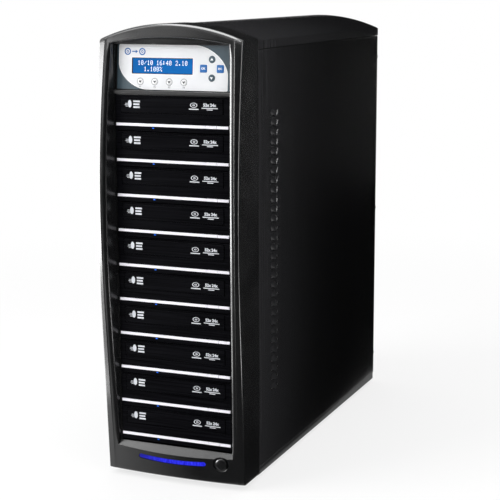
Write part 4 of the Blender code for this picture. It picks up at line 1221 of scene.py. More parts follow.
def label_outline(shrink):
    """The light field of the overlay: two square corners and two swept ones."""
    left, right = -LABEL_HALF_WIDTH + shrink, LABEL_HALF_WIDTH - shrink
    low, high = -LABEL_HALF_HEIGHT + shrink, LABEL_HALF_HEIGHT - shrink
    corner = LABEL_CORNER - shrink / 2
    x, z = LABEL_UPPER_SWEEP
    points = sweep((x, z), right - x, high - z, 0, 90)
    points += arc(corner, math.pi / 2, math.pi, 6, (left + corner, high - corner))
    x, z = LABEL_LOWER_SWEEP
    points += sweep((x, z), x - left, z - low, 180, 270)
    points += arc(corner, -math.pi / 2, 0, 6, (right - corner, low + corner))
    return points


def key_table():
    """Each key's name, body, node, outline by shrink, material slot and place on the keypad."""

    def arrow(shrink):
        return circle(ARROW_RADIUS - shrink, 40)

    def square(shrink):
        side = SQUARE_SIDE - 2 * shrink
        return rounded_rectangle(side, side, max(0.0002, 0.0010 - shrink))

    def function(shrink):
        return circle(FUNCTION_RADIUS - shrink, 36)

    keys = [
        ("key_up_cap", "up_key", "key_up", arrow, "key_slate", PAD_X, PAD_UP + PAD_STEP),
        ("key_down_cap", "down_key", "key_down", arrow, "key_slate", PAD_X, PAD_UP - PAD_STEP),
        ("key_ok_cap", "ok_key", "key_ok", square, "key_blue", PAD_X - PAD_STEP, PAD_UP),
        ("key_escape_cap", "escape_key", "key_escape", square, "key_blue", PAD_X + PAD_STEP, PAD_UP),
    ]
    for i in range(4):
        x = FUNCTION_FIRST_X + i * FUNCTION_PITCH
        number = i + 1
        row = (f"key_function_{number}_cap", f"function_key_{number}", f"key_function_{number}")
        keys.append((*row, function, "key_light", x, -FUNCTION_DOWN))
    return keys


def key_holes(margin, start, end):
    """Tools for the openings round the keys."""
    holes = []
    for _, _, _, outline, _, x, z in key_table():
        holes.append(placed(drawn(outline(-margin), start, end), (x, 0, z)))
    return joined(holes)


def display_hole(margin, start, end):
    """A tool for the display's window."""
    x, z, width, height = DISPLAY
    outline = rounded_rectangle(width + 2 * margin, height + 2 * margin, 0.0004 + margin / 2, (x, z))
    return drawn(outline, start, end)


def lettering(text, height, thickness, fatten=0.0):
    """A line of plain characters in a plane across Y, centred."""
    curve = bpy.data.curves.new("text", "FONT")
    curve.body = text
    curve.size = height / 0.7
    curve.extrude = thickness / 2
    curve.offset = fatten
    curve.resolution_u = 3
    curve.align_x = curve.align_y = "CENTER"
    made = evaluated(new_object("text", curve))
    made.transform(Matrix.Rotation(math.pi / 2, 4, "X"))
    made.materials.clear()
    return made


def printed(outline, y):
    """A flat printed mark from (x, z) points."""
    return drawn(outline, y - MARK_HALF, y + MARK_HALF)


def bar_mark(x0, x1, z0, z1, y):
    """A small printed bar."""
    return printed([(x0, z0), (x1, z0), (x1, z1), (x0, z1)], y)


def ring_mark(radius, width, centre, y, segments=28, flat=1.0):
    """A printed ring, made lower by a share."""
    outer, inner = (
        [(centre[0] + x, centre[1] + z * flat) for x, z in circle(size, segments)]
        for size in (radius, radius - width)
    )
    return cut(printed(outer, y), drawn(inner, y - OVERRUN, y + OVERRUN))


CHARACTERS = {
    "0": "01110 10001 10011 10101 11001 10001 01110",
    "1": "00100 01100 00100 00100 00100 00100 01110",
    "2": "01110 10001 00001 00010 00100 01000 11111",
    "3": "11111 00010 00100 00010 00001 10001 01110",
    "4": "00010 00110 01010 10010 11111 00010 00010",
    "5": "11111 10000 11110 00001 00001 10001 01110",
    "6": "00110 01000 10000 11110 10001 10001 01110",
    "7": "11111 00001 00010 00100 01000 01000 01000",
    "8": "01110 10001 10001 01110 10001 10001 01110",
    "9": "01110 10001 10001 01111 00001 00010 01100",
    ":": "00000 01100 01100 00000 01100 01100 00000",
    ".": "00000 00000 00000 00000 00000 01100 01100",
    "-": "00000 00000 00000 11111 00000 00000 00000",
    "/": "00000 00001 00010 00100 01000 10000 00000",
    "%": "11000 11001 00010 00100 01000 10011 00011",
    " ": "00000 00000 00000 00000 00000 00000 00000",
}
DISPLAY_LINES = ("10/10 16:48 2.10", "  1.100%")


def dot_places():
    """Where each lit dot of the display's characters lies."""
    (x, z), (pitch_x, pitch_z) = DISPLAY[:2], DISPLAY_PITCH
    left = x - 7.5 * pitch_x
    places = []
    for row, line in enumerate(DISPLAY_LINES):
        for column, letter in enumerate(line):
            middle_x, middle_z = left + column * pitch_x, z + (0.5 - row) * pitch_z
            for down, bits in enumerate(CHARACTERS[letter].split()):
                for along, bit in enumerate(bits):
                    if bit == "1":
                        dot_z = middle_z + (3 - down) * DISPLAY_DOT * 1.25
                        places.append((middle_x + (along - 2) * DISPLAY_DOT, DISPLAY_DOT_Y, dot_z))
    return places


def copy_symbol(y):
    """A plain symbol for copying: a disc, an arrow, and a second disc."""
    z = 0.0178
    marks = []
    for x in (-0.0585, -0.0395):
        marks += [ring_mark(0.0042, 0.0014, (x, z), y), ring_mark(0.0016, 0.0008, (x, z), y)]
    marks.append(bar_mark(-0.0528, -0.0482, z - 0.0006, z + 0.0006, y))
    marks.append(printed([(-0.0482, z - 0.0020), (-0.0452, z), (-0.0482, z + 0.0020)], y))
    return joined(marks)


class DUPLICATOR_OT_keypad(bpy.types.Operator):
    """Build the keypad's plate, its overlay and the display"""

    bl_idname = "duplicator.keypad"
    bl_label = "Keypad and display"

    def execute(self, context):
        place = keypad_place()
        start, end = -OVERRUN, FASCIA_THICKNESS + OVERRUN
        across, up = FASCIA_HALF_WIDTH, FASCIA_HALF_HEIGHT
        plate = block((-across, 0, -up), (across, FASCIA_THICKNESS, up))
        plate = cut(plate, display_hole(0, start, end), key_holes(FIT, start, end))
        plate = placed(smooth(softened(plate, 0.0003)), place)
        add_piece("keypad_plate", plate, "overlay_black", "fascia_grey", ["control_fascia"])
        slate = rounded_rectangle(0.1440, 0.0520, 0.0010)
        layers = (
            ("overlay_slate", "overlay_slate_ink", slate, 0.00012, 0.0006),
            ("overlay_rim", "overlay_white", label_outline(0.0), 0.00020, 0.0004),
            ("overlay_field", "overlay_grey", label_outline(0.0008), 0.00026, 0.0010),
        )
        for name, finish, outline, proud, margin in layers:
            layer = drawn(outline, -proud, 0.0001)
            layer = cut(layer, display_hole(margin, start, end), key_holes(margin / 2, start, end))
            add_piece(name, placed(smooth(layer), place), finish, "fascia_grey")
        symbol = placed(smooth(copy_symbol(OVERLAY_MARK_Y)), place)
        add_piece("overlay_symbol", symbol, "blue_ink", "fascia_grey")
        captions = []
        for i in range(4):
            caption = lettering(f"F{i + 1}", 0.0019, 0.0001, 0.00003)
            x = FUNCTION_FIRST_X + i * FUNCTION_PITCH
            captions.append(placed(caption, (x, OVERLAY_MARK_Y, -FUNCTION_DOWN - 0.0062)))
            captions.append(ring_mark(0.0042, 0.0005, (x, -FUNCTION_DOWN), KEY_RING_Y, 40))
        add_piece("overlay_captions", placed(joined(captions), place), "grey_ink", "fascia_grey")
        self.add_display(place)
        return {"FINISHED"}

    def add_display(self, place):
        """The display, its lit dots and the board behind the keys."""
        x, z, width, height = DISPLAY

        def glass(shrink):
            return rounded_rectangle(width - 2 * (FIT + shrink), height - 2 * (FIT + shrink), 0.0003, (x, z))

        board_y = FASCIA_THICKNESS + FIT + 0.0008 + 0.0008 + FIT
        pane = placed(smooth(pillow(glass, board_y, 0.0008, 0.0002, inner=())), place)
        add_piece("display_glass", pane, "display_pane", "display_blue", ["lcd_module"])
        across, up = FASCIA_HALF_WIDTH - 0.004, FASCIA_HALF_HEIGHT - 0.004
        board = softened(block((-across, board_y, -up), (across, board_y + 0.0016, up)), 0.0002)
        add_piece("key_board", placed(board, place), "board_green", "display_blue")
        dot = block((-0.00026, 0, -0.00034), (0.00026, 0.00006, 0.00034))
        dots = copies_at(dot, dot_places(), "display_dots")
        add_piece("display_characters", placed(dots, place), None, "display_blue")


class DUPLICATOR_OT_keys(bpy.types.Operator):
    """Build the eight keys with their marks"""

    bl_idname = "duplicator.keys"
    bl_label = "Keys"

    def execute(self, context):
        place = keypad_place()
        finishes = {"key_slate": "slate_cap", "key_blue": "blue_cap", "key_light": "light_cap"}
        for name, body, node, outline, slot, x, z in key_table():
            cap = pillow(outline, 0.0037, -0.0006, 0.0004, 0.00015)
            flange = drawn(outline(-0.0009), 0.0033, 0.0041)
            mesh = placed(placed(joined([cap, flange]), (x, 0, z)), place)
            add_piece(name, smooth(mesh), finishes[slot], slot, [node], body)
            mark, ink = self.mark(node)
            mesh = placed(placed(mark, (x, KEY_MARK_Y, z)), place)
            add_piece(name.replace("_cap", "_mark"), mesh, ink, slot, (), body)
        return {"FINISHED"}

    def mark(self, node):
        """The mark on a key and its ink."""
        if node in ("key_up", "key_down"):
            up = 1 if node == "key_up" else -1
            points = [(-0.0019, -0.0011 * up), (0.0019, -0.0011 * up), (0, 0.0018 * up)]
            return drawn(points, -0.0001, 0.0002), "white_ink"
        if node == "key_ok":
            return lettering("OK", 0.0024, 0.0003, 0.00012), "white_ink"
        if node == "key_escape":
            return lettering("ESC", 0.0022, 0.0003, 0.00010), "white_ink"
        points = [(-0.0012, 0.0010), (0, 0.0006), (0.0012, 0.0010)]
        points += [(0.0013, 0.0002), (0, -0.0014), (-0.0013, 0.0002)]
        return drawn([(1.3 * x, 1.3 * z) for x, z in points], -0.0001, 0.0002), "dark_ink"


# Drives


def drive_middle(i):
    """Height of a drive's middle, counted from the top."""
    return STACK_TOP_Z - i * DRIVE_PITCH - DRIVE_HALF_HEIGHT


def drive_housing():
    """A drive's housing about the middle of its face, with the tray's slot and the eject button's notch."""
    low = (-DRIVE_HALF_WIDTH, 0, -DRIVE_HALF_HEIGHT)
    shell = block(low, (DRIVE_HALF_WIDTH, DRIVE_DEPTH, DRIVE_HALF_HEIGHT))
    across, up = DOOR_HALF_WIDTH + RUN, DOOR_HALF_HEIGHT + RUN
    slot = block((-across, -OVERRUN, DOOR_UP - up), (across, DRIVE_DEPTH - 0.012, DOOR_UP + up))
    around_door = rounded_rectangle(2 * across + 0.0016, 2 * up + 0.0016, 0.0018, (0, DOOR_UP))
    reveal = drawn(around_door, -OVERRUN, 0.0004)
    half, tall = EJECT_HALF_WIDTH + FIT, STRIP_HALF_HEIGHT + FIT
    notch = block((EJECT_X - half, -OVERRUN, STRIP_UP - tall), (EJECT_X + half, 0.0045, STRIP_UP + tall))
    groove = drawn(rounded_rectangle(0.1452, 0.0043, 0.0006, (0, STRIP_UP)), -OVERRUN, 0.0003)
    return smooth(softened(cut(shell, slot, notch, reveal, groove), 0.00025, 2, 50))


def drive_strip():
    """The silver strip about the middle of a drive's face, broken for the eject button."""
    parts = []
    for x0, x1 in (
        (-STRIP_HALF_WIDTH, EJECT_X - EJECT_HALF_WIDTH - 0.00025),
        (EJECT_X + EJECT_HALF_WIDTH + 0.00025, STRIP_HALF_WIDTH),
    ):
        middle, width = (x0 + x1) / 2, x1 - x0

        def outline(shrink):
            height = 2 * (STRIP_HALF_HEIGHT - shrink)
            return rounded_rectangle(width - 2 * shrink, height, 0.0002, (middle, STRIP_UP))

        parts.append(pillow(outline, 0.0008, -STRIP_PROUD, 0.0005, 0.0, 4, ()))
    return smooth(joined(parts))


class DUPLICATOR_OT_drives(bpy.types.Operator):
    """Build the ten drive housings with their silver strips and lights"""

    bl_idname = "duplicator.drives"
    bl_label = "Drive housings"

    def execute(self, context):
        start, step = (0, FACE_Y, drive_middle(0)), (0, 0, -DRIVE_PITCH)
        nodes = [f"drive_{i + 1:02d}_body" for i in range(DRIVE_COUNT)]
        housings = row_of(drive_housing(), DRIVE_COUNT, start, step, "brushed_black")
        add_piece("drive_housings", housings, None, "drive_black", nodes)
        strips = row_of(drive_strip(), DRIVE_COUNT, start, step, "silver_lacquer")
        add_piece("drive_strips", strips, None, "silver_trim")

        def lens(shrink):
            place = (-0.0240, STRIP_UP - 0.0034)
            return rounded_rectangle(0.0024 - 2 * shrink, 0.0011 - 2 * shrink, 0.0002, place, 2)

        light = smooth(pillow(lens, 0.0005, -0.0002, 0.0002, 0.0, 2, ()))
        lights = row_of(light, DRIVE_COUNT, start, step, "drive_light")
        add_piece("drive_lights", lights, None, "drive_black")
        return {"FINISHED"}


def disc_tray():
    """A tray about the middle of its door, with the recesses of both disc sizes and the spindle's slot."""

    def door(shrink):
        return rounded_rectangle(2 * (DOOR_HALF_WIDTH - shrink), 2 * (DOOR_HALF_HEIGHT - shrink), 0.0012)

    front = pillow(door, 0.0025, -0.0005, 0.0004, 0.0, 3, ())
    floor = FIT - DOOR_HALF_HEIGHT
    top = floor + TRAY_THICKNESS
    half, bevel = TRAY_HALF_WIDTH, 0.003
    outline = [(-half, 0.0015), (half, 0.0015), (half, TRAY_LENGTH - bevel), (0.061, TRAY_LENGTH)]
    outline += [(-0.061, TRAY_LENGTH), (-half, TRAY_LENGTH - bevel)]
    tools = []
    for radius, depth in DISC_RECESSES:
        tools.append(raised(circle(radius, 96, (0, DISC_Y)), top - depth, top + OVERRUN))
    slot = arc(SPINDLE_HALF, math.pi, 2 * math.pi, 16, (0, DISC_Y - 0.002))
    slot += [(SPINDLE_HALF, TRAY_LENGTH + OVERRUN), (-SPINDLE_HALF, TRAY_LENGTH + OVERRUN)]
    tools.append(raised(slot, floor - OVERRUN, top + OVERRUN))
    plate = softened(cut(raised(outline, floor, top), *tools), 0.0003, 2, 40)
    return smooth(joined([front, plate]))


def door_marks():
    """White marks on a tray's door: a disc with lines, thick bars, two rings, and speeds in figures."""
    y = DOOR_MARK_Y
    marks = []
    for i, x0 in enumerate((-0.0598, -0.0604, -0.0592)):
        marks.append(bar_mark(x0, -0.0556, 0.0012 - 0.0016 * i, 0.0018 - 0.0016 * i, y))
    marks.append(printed([(x * 0.55, z) for x, z in circle(0.0044, 24, (-0.0980, 0.0012))], y))
    for i, x1 in enumerate((-0.0404, -0.0412, -0.0408)):
        z = 0.0042 - 0.0034 * i
        marks.append(bar_mark(-0.0492, x1, z - 0.0010, z + 0.0010, y))
    for radius, width in ((0.0046, 0.0010), (0.0016, 0.0009)):
        marks.append(ring_mark(radius, width, (0.0288, 0.0018), y, flat=0.62))
    marks.append(bar_mark(0.0226, 0.0350, -0.0034, -0.0022, y))
    figures = lettering("52x 24x", 0.0034, 0.0001, 0.00022)
    marks.append(placed(figures, (0.0489, y, 0.0022)))
    marks.append(bar_mark(0.0388, 0.0592, -0.0018, -0.0008, y))
    marks.append(bar_mark(0.0452, 0.0528, -0.0036, -0.0026, y))
    return joined(marks)


class DUPLICATOR_OT_trays(bpy.types.Operator):
    """Build the ten disc trays with their marks, and the eject buttons"""

    bl_idname = "duplicator.trays"
    bl_label = "Disc trays"

    def execute(self, context):
        tray, marks = disc_tray(), door_marks()

        def cap(shrink):
            width = 2 * (EJECT_HALF_WIDTH - 0.0001 - shrink)
            return rounded_rectangle(width, 2 * (STRIP_HALF_HEIGHT - shrink), 0.0004)

        button = smooth(pillow(cap, 0.0032, -STRIP_PROUD - 0.0001, 0.0005, 0.0, 4, ()))
        for i in range(DRIVE_COUNT):
            number = f"{i + 1:02d}"
            door = (0, FACE_Y, drive_middle(i) + DOOR_UP)
            name, node, body = f"disc_tray_{number}", f"drive_{number}_tray", f"tray_{number}"
            add_piece(name, placed(tray.copy(), door), "grained_black", "tray_plastic", [node], body)
            add_piece(f"{name}_marks", placed(marks.copy(), door), "door_ink", "silver_trim", (), body)
            mesh = placed(button.copy(), (EJECT_X, FACE_Y, drive_middle(i) + STRIP_UP))
            name, node, body = f"eject_button_{number}", f"drive_{number}_eject", f"eject_{number}"
            add_piece(name, mesh, "silver_lacquer", "silver_trim", [node], body)
        return {"FINISHED"}


# Case


def louvre_hood():
    """A pressed hood about its own middle on the sheet, open below, as a closed thin shell."""
    along, down = 24, 6
    outer, inner = [], []
    for i in range(along + 1):
        share = 2 * i / along - 1
        full = min((1 + share) / (1 + HOOD_CREST), (1 - share) / (1 - HOOD_CREST))
        full = math.sin(full * math.pi / 2) if share < HOOD_CREST else full * (1.2 - 0.2 * full)
        for j in range(down + 1):
            fall = j / down
            rise = HOOD_PROUD * full * (fall * (1.7 - 0.7 * fall))
            y = share * LOUVRE_LENGTH / 2 - HOOD_SLANT * fall * max(share, 0)
            z = HOOD_TOP - fall * HOOD_HEIGHT * (0.6 + 0.4 * full)
            outer.append((rise - 0.00005, y, z))
            inner.append((min(rise - HOOD_SKIN, rise * 0.6) - 0.0003, y * 0.97, z - 0.0001))
    points = outer + inner
    count = len(outer)
    faces = []
    width = down + 1
    for i in range(along):
        for j in range(down):
            a, b = i * width + j, (i + 1) * width + j
            faces.append((a, b, b + 1, a + 1))
            faces.append((count + a, count + a + 1, count + b + 1, count + b))
    rim = [i * width for i in range(along + 1)]
    rim += [along * width + j for j in range(1, width)]
    rim += [i * width + down for i in range(along - 1, -1, -1)]
    rim += [j for j in range(down - 1, 0, -1)]
    for a, b in zip(rim, rim[1:] + rim[:1]):
        faces.append((a, b, count + b, count + a))
    return smooth(mesh_of(points, faces), 45)


def side_skin():
    """The right side panel's flanged sheet, with its slots cut but without the hoods."""
    low, high = (CASE_Y, BAND_TOP_Z + FIT), (REAR_Y, PANEL_TOP_Z)

    def ring(x, shrink):
        y0, z0, y1, z1 = low[0] + shrink, low[1] + shrink, high[0] - shrink, high[1] - shrink
        return [(x, y0, z0), (x, y1, z0), (x, y1, z1), (x, y0, z1)]

    back = CASE_HALF - PANEL_FLANGE
    rings = [ring(back, 0)]
    for step in range(7):
        angle = math.pi / 2 * step / 6
        rings.append(ring(CASE_HALF - PANEL_BEND * (1 - math.sin(angle)), PANEL_BEND * (1 - math.cos(angle))))
    rings.append(ring(CASE_HALF, PANEL_BEND + 0.002))
    hollow = block(
        (back - OVERRUN, low[0] + SHEET, low[1] - OVERRUN),
        (CASE_HALF - SHEET, high[0] - SHEET, high[1] - SHEET),
    )
    slots = []
    for i in range(LOUVRE_COUNT):
        z = LOUVRE_Z + i * LOUVRE_PITCH
        start = (CASE_HALF - SLOT_REACH, LOUVRE_Y - SLOT_HALF_LENGTH, z - SLOT_FOOT)
        slots.append(block(start, (CASE_HALF + SLOT_REACH, LOUVRE_Y + SLOT_HALF_LENGTH, z - SLOT_HEAD)))
    return smooth(cut(through(rings), hollow, joined(slots)))


def thumbscrew():
    """A knurled captive screw about the middle of its seat, pointing back."""
    profile = [(0, -0.0005), (0.0040, -0.0005), (0.0040, 0.0008), (0.0046, 0.0010), (0.0048, 0.0014)]
    profile += [(0.0048, 0.0052), (0.0044, 0.0059), (0.0030, 0.0060), (0.0026, 0.0056), (0, 0.0056)]
    mesh = turned(profile, 40)
    for vertex in mesh.vertices:
        radius = math.hypot(vertex.co.x, vertex.co.z)
        if radius > 0.0045:
            turn = math.atan2(vertex.co.z, vertex.co.x)
            shrink = 1 - 0.03 * (round(turn / math.tau * 40) % 2)
            vertex.co.x *= shrink
            vertex.co.z *= shrink
    return smooth(mesh, 25)


def dome_points(inset):
    """The top cover's section as (x, z) points, with round eaves."""
    half = CASE_HALF - inset
    low = SKIRT_Z - (OVERRUN if inset else 0)
    segments = 56
    dome = []
    for i in range(segments + 1):
        x = half * (1 - 2 * i / segments)
        dome.append((x, EAVES_Z - inset + arch_height(x, CASE_HALF, DOME_RISE)))
    ease, top = 0.0014, dome[0][1]
    corner = [(half, top - ease), (half - 0.15 * ease, top - 0.40 * ease)]
    corner.append((half - 0.55 * ease, top + 0.02 * ease))
    inner = [point for point in dome if abs(point[0]) < half - 0.002]
    return [(-half, low), (half, low)] + corner + inner + [(-x, z) for x, z in reversed(corner)]


class DUPLICATOR_OT_case(bpy.types.Operator):
    """Build the louvred side panels, the domed cover and the base pan"""

    bl_idname = "duplicator.case"
    bl_label = "Case"

    def execute(self, context):
        # Black enamel with a painted sheen, paler towards the front
        steel = "black_enamel"
        skin = side_skin()
        start, step = (CASE_HALF, LOUVRE_Y, LOUVRE_Z), (0, 0, LOUVRE_PITCH)
        hoods = row_of(louvre_hood(), LOUVRE_COUNT, start, step, steel)
        height = PANEL_TOP_Z - BAND_TOP_Z - FIT
        first = (CASE_HALF - 0.006, REAR_Y, BAND_TOP_Z + FIT + 0.06 * height)
        screws = row_of(thumbscrew(), 3, first, (0, 0, 0.44 * height), "screw_black")
        for side, make in (("right", lambda mesh: mesh), ("left", mirrored)):
            node = [f"{side}_side_panel"]
            add_piece(f"{side}_side_skin", make(joined([skin, hoods])), steel, "black_steel", node)
            add_piece(f"{side}_thumbscrews", make(screws), None, "black_steel")
        cover = drawn(dome_points(0), CASE_Y, REAR_Y)
        cover = cut(cover, drawn(dome_points(SHEET), CASE_Y - OVERRUN, REAR_Y - SHEET))
        # The cover's enamel is painted paler than the panels' and paler towards the front: painted light
        add_piece("domed_cover", smooth(cover), "cover_enamel", "black_steel", ["top_cover"])
        pan = smooth(softened(from_node("base_pan"), 0.0003))
        add_piece("base_tray", pan, steel, "black_steel", ["base_pan"])
        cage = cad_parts["drive_cage"]
        cage.data.materials.clear()
        cage.data.materials.append(finish_of("zinc_plate"))
        return {"FINISHED"}


# Rear


def pan_head_screw():
    """A small cross-head screw about its seat, pointing back."""
    profile = [(0, -0.0005), (0.0029, -0.0005), (0.0030, 0.0004), (0.0027, 0.0012), (0.0018, 0.0018)]
    head = turned(profile + [(0.0007, 0.0020), (0, 0.0020)], 24)

    def slot(across, up):
        return block((-across, 0.0008, -up), (across, 0.004, up))

    long, short = 0.0016, 0.0003
    cross = boolean(joined([slot(long, short), slot(short, long)]), slot(short, long), "UNION")
    return smooth(cut(head, cross), 30)


def blade_ring(share):
    """A fan blade's section at a share of the way from its root to its tip."""
    radius = BLADE_ROOT + share * (BLADE_TIP - BLADE_ROOT)
    angle = math.radians(48 - 18 * share)
    chord = 0.0150 * (0.92 + 0.16 * share)
    middle = (HUB_FRONT_Y + HUB_BACK_Y) / 2
    face = [(i / 8 - 0.5, 1) for i in range(9)]
    points = []
    for along, side in face + [(along, -1) for along, _ in reversed(face)]:
        camber = 0.0012 * (1 - (2 * along) ** 2)
        thick = 0.0005 * math.sqrt(max(0.05, 1 - (2 * along) ** 2)) + 0.00015
        across = camber + side * thick
        tangent = along * chord * math.cos(angle) - across * math.sin(angle)
        axial = along * chord * math.sin(angle) + across * math.cos(angle)
        tangent += 0.004 * share**2
        points.append((math.sqrt(radius**2 - tangent**2), middle + axial, tangent))
    return points


def fan_rotor():
    """A hub with a dished cap and seven twisted blades, about the middle of the fan's rear face."""
    back, front = HUB_BACK_Y, HUB_FRONT_Y
    profile = [(0, back), (0.0150, back), (0.0161, back - 0.0004), (HUB_RADIUS, back - 0.0014)]
    profile += [(HUB_RADIUS, front + 0.001), (0.0158, front), (0, front)]
    parts = [turned(profile, 64)]
    blade = through([blade_ring(step / 8) for step in range(9)])
    for i in range(BLADE_COUNT):
        parts.append(placed(blade.copy(), Matrix.Rotation(math.tau * i / BLADE_COUNT, 4, "Y")))
    return smooth(joined(parts), 35)


def rocker_cap():
    """The rocker about its pivot, tipped to one side."""
    radius, corner, tilt = ROCKER_RADIUS, math.radians(20), ROCKER_TILT
    face = radius * (math.sin(corner) - math.cos(corner) * math.tan(tilt))
    end_y = radius * math.sin(corner)
    outline = arc(radius, -corner, corner, 8)
    for i in range(1, 12):
        along = 1 - 2 * (i / 12)
        outline.append((radius * math.cos(corner) * along, face + (end_y - face) * abs(along) ** 1.15))
    outline += arc(radius, math.pi - corner, math.pi + corner, 8)
    turn_cos, turn_sin = math.cos(tilt), math.sin(tilt)
    points = [(z * turn_sin + y * turn_cos, z * turn_cos - y * turn_sin) for z, y in outline]
    half, round_off, shrink = 0.0063, 0.0004, 0.03
    rings = []
    for x, less in ((-half, shrink), (-half + round_off, 0), (half - round_off, 0), (half, shrink)):
        rings.append([(x, y * (1 - less), z * (1 - less)) for y, z in points])
    return smooth(through(rings), 30)


class DUPLICATOR_OT_rear(bpy.types.Operator):
    """Build the rear sheet, the power supply with its inlet and switch, the fans and their screws"""

    bl_idname = "duplicator.rear"
    bl_label = "Rear and power supply"

    def execute(self, context):
        for name, node, width, angle, finish, slot in (
            ("rear_sheet", "rear_panel", 0.0002, 35, "black_enamel", "black_steel"),
            ("supply_box", "psu_case", 0.0003, 35, "zinc_plate", "plated_steel"),
            ("inlet_body", "power_inlet", 0.0003, 60, "fan_nylon", "fan_black"),
        ):
            add_piece(name, smooth(softened(from_node(node), width, 2, angle)), finish, slot, [node])
        self.add_pins()
        rocker = placed(rocker_cap(), ROCKER_PLACE)
        add_piece("rocker_cap", rocker, "fan_nylon", "fan_black", ["power_rocker"], "rocker")
        self.add_rocker_marks()
        rotor = fan_rotor()
        for name, place in FAN_PLACES.items():
            frame_node, rotor_node = f"{name}_fan_frame", f"{name}_fan_rotor"
            housing = smooth(softened(from_node(frame_node), 0.0004, 2, 50))
            add_piece(f"{name}_fan_housing", housing, "fan_nylon", "fan_black", [frame_node])
            wheel = placed(rotor.copy(), place)
            add_piece(f"{name}_fan_wheel", wheel, "fan_nylon", "fan_black", [rotor_node], f"{name}_rotor")
        self.add_screws()
        return {"FINISHED"}

    def add_pins(self):
        """Bright pins with chamfered tips over the inlet's moulded ones."""
        pins = []
        for x, z in ((-0.007, -0.00175), (0, 0.00175), (0.007, -0.00175)):

            def ring(y, shrink):
                width, height = 0.0021 - 2 * shrink, 0.0041 - 2 * shrink
                return [(px, y, pz) for px, pz in rounded_rectangle(width, height, 0.0003, (x, z), 2)]

            pins.append(through([ring(-0.0185, 0), ring(-0.0081, 0), ring(-0.0069, 0.0005)]))
        mesh = placed(smooth(joined(pins)), (CONTROL_X, SUPPLY_Y, SUPPLY_Z + INLET_UP))
        add_piece("inlet_pins", mesh, "nickel", "plated_steel")

    def add_rocker_marks(self):
        """A bar for on and a ring for off."""
        on = bar_mark(-0.0003, 0.0003, 0.0036, 0.0062, ROCKER_MARK_Y)
        off = ring_mark(0.0015, 0.0004, (0, -0.0052), ROCKER_MARK_Y)
        marks = placed(joined([on, off]), Matrix.Rotation(ROCKER_TILT, 4, "X"))
        add_piece("rocker_marks", placed(marks, ROCKER_PLACE), "white_ink", "fan_black", (), "rocker")

    def add_screws(self):
        """Cross-head screws of the case fan, the supply and the rear sheet."""
        x, _, z = FAN_PLACES["case"]
        points = []
        for side in (-1, 1):
            for up in (-1, 1):
                points.append((x + side * FAN_SCREW_OUT, REAR_PANEL_Y, z + up * FAN_SCREW_OUT))
        points += [(across, SUPPLY_Y, SUPPLY_Z + up) for across, up in SUPPLY_SCREWS]
        points += [(side * REAR_SCREW_X, REAR_PANEL_Y, z) for side in (-1, 1) for z in REAR_SCREW_HEIGHTS]
        add_piece("rear_screws", copies_at(pan_head_screw(), points, "screw_black"), None, "black_steel")


class DUPLICATOR_OT_feet(bpy.types.Operator):
    """Build the four rubber feet"""

    bl_idname = "duplicator.feet"
    bl_label = "Feet"

    def execute(self, context):
        profile = [(0, 0.0), (0.0035, 0.0), (0.0040, 0.0), (0.0078, 0.0), (0.0085, 0.0003), (0.0088, 0.0010)]
        profile += [(0.0098, 0.0038), (0.0099, 0.0044), (0.0094, 0.0047), (0, 0.0047)]
        foot = turned(profile, 48)
        foot.transform(Matrix.Rotation(math.pi / 2, 4, "X"))
        for end, y in (("front", CASE_Y + 0.034), ("rear", REAR_Y - 0.034)):
            for name, side in (("left", -1), ("right", 1)):
                mesh = smooth(placed(foot.copy(), (side * 0.056, y, 0)))
                node = f"foot_{end}_{name}"
                add_piece(f"rubber_{node}", mesh, "soft_rubber", "foot_rubber", [node])
        return {"FINISHED"}


# Stage


def area_light(name, place, target, size, power, visible):
    """A soft rectangular light that points at a target; visible says which rays see it."""
    data = bpy.data.lights.new(name, "AREA")
    data.shape = "RECTANGLE"
    data.size, data.size_y = size
    data.energy = power
    made = new_object(name, data)
    made.location = place
    made.rotation_mode = "QUATERNION"
    made.rotation_quaternion = (Vector(target) - Vector(place)).to_track_quat("-Z", "Y")
    made.visible_camera = False
    made.visible_diffuse = visible == "diffuse"
    made.visible_glossy = visible == "glossy"


def around(azimuth, elevation, distance, target):
    """A place seen from a target: azimuth from the front towards the right, in degrees."""
    a, e = math.radians(azimuth), math.radians(elevation)
    back = Vector((math.sin(a) * math.cos(e), -math.cos(a) * math.cos(e), math.sin(e)))
    return Vector(target) + back * distance


def emitting(tree, strength):
    """The output of a white background or emission of this strength."""
    kind = "ShaderNodeBackground" if isinstance(tree.id_data, bpy.types.World) else "ShaderNodeEmission"
    return new_node(tree, kind, Color=(1, 1, 1, 1), Strength=strength).outputs[0]


def seen_directly(tree):
    """1 for camera, glossy and transmission rays, 0 for others."""
    path = tree.nodes.new("ShaderNodeLightPath")
    result = path.outputs["Is Camera Ray"]
    for label in ("Is Glossy Ray", "Is Transmission Ray"):
        larger = tree.nodes.new("ShaderNodeMath")
        larger.operation = "MAXIMUM"
        tree.links.new(result, larger.inputs[0])
        tree.links.new(path.outputs[label], larger.inputs[1])
        result = larger.outputs["Value"]
    return result


def mixed_shader(tree, share, first, second):
    """Two shaders mixed by a share."""
    made = new_node(tree, "ShaderNodeMixShader", Fac=share)
    tree.links.new(first, made.inputs[1])
    tree.links.new(second, made.inputs[2])
    return made.outputs["Shader"]


def stage_material(name, grey, roughness):
    """A dull grey material of the studio and its node tree."""
    made = bpy.data.materials.new(name)
    made.use_nodes = True
    inputs = made.node_tree.nodes["Principled BSDF"].inputs
    inputs["Base Color"].default_value = (grey, grey, grey, 1)
    inputs["Roughness"].default_value = roughness
    inputs["Specular IOR Level"].default_value = 0.0
    return made, made.node_tree


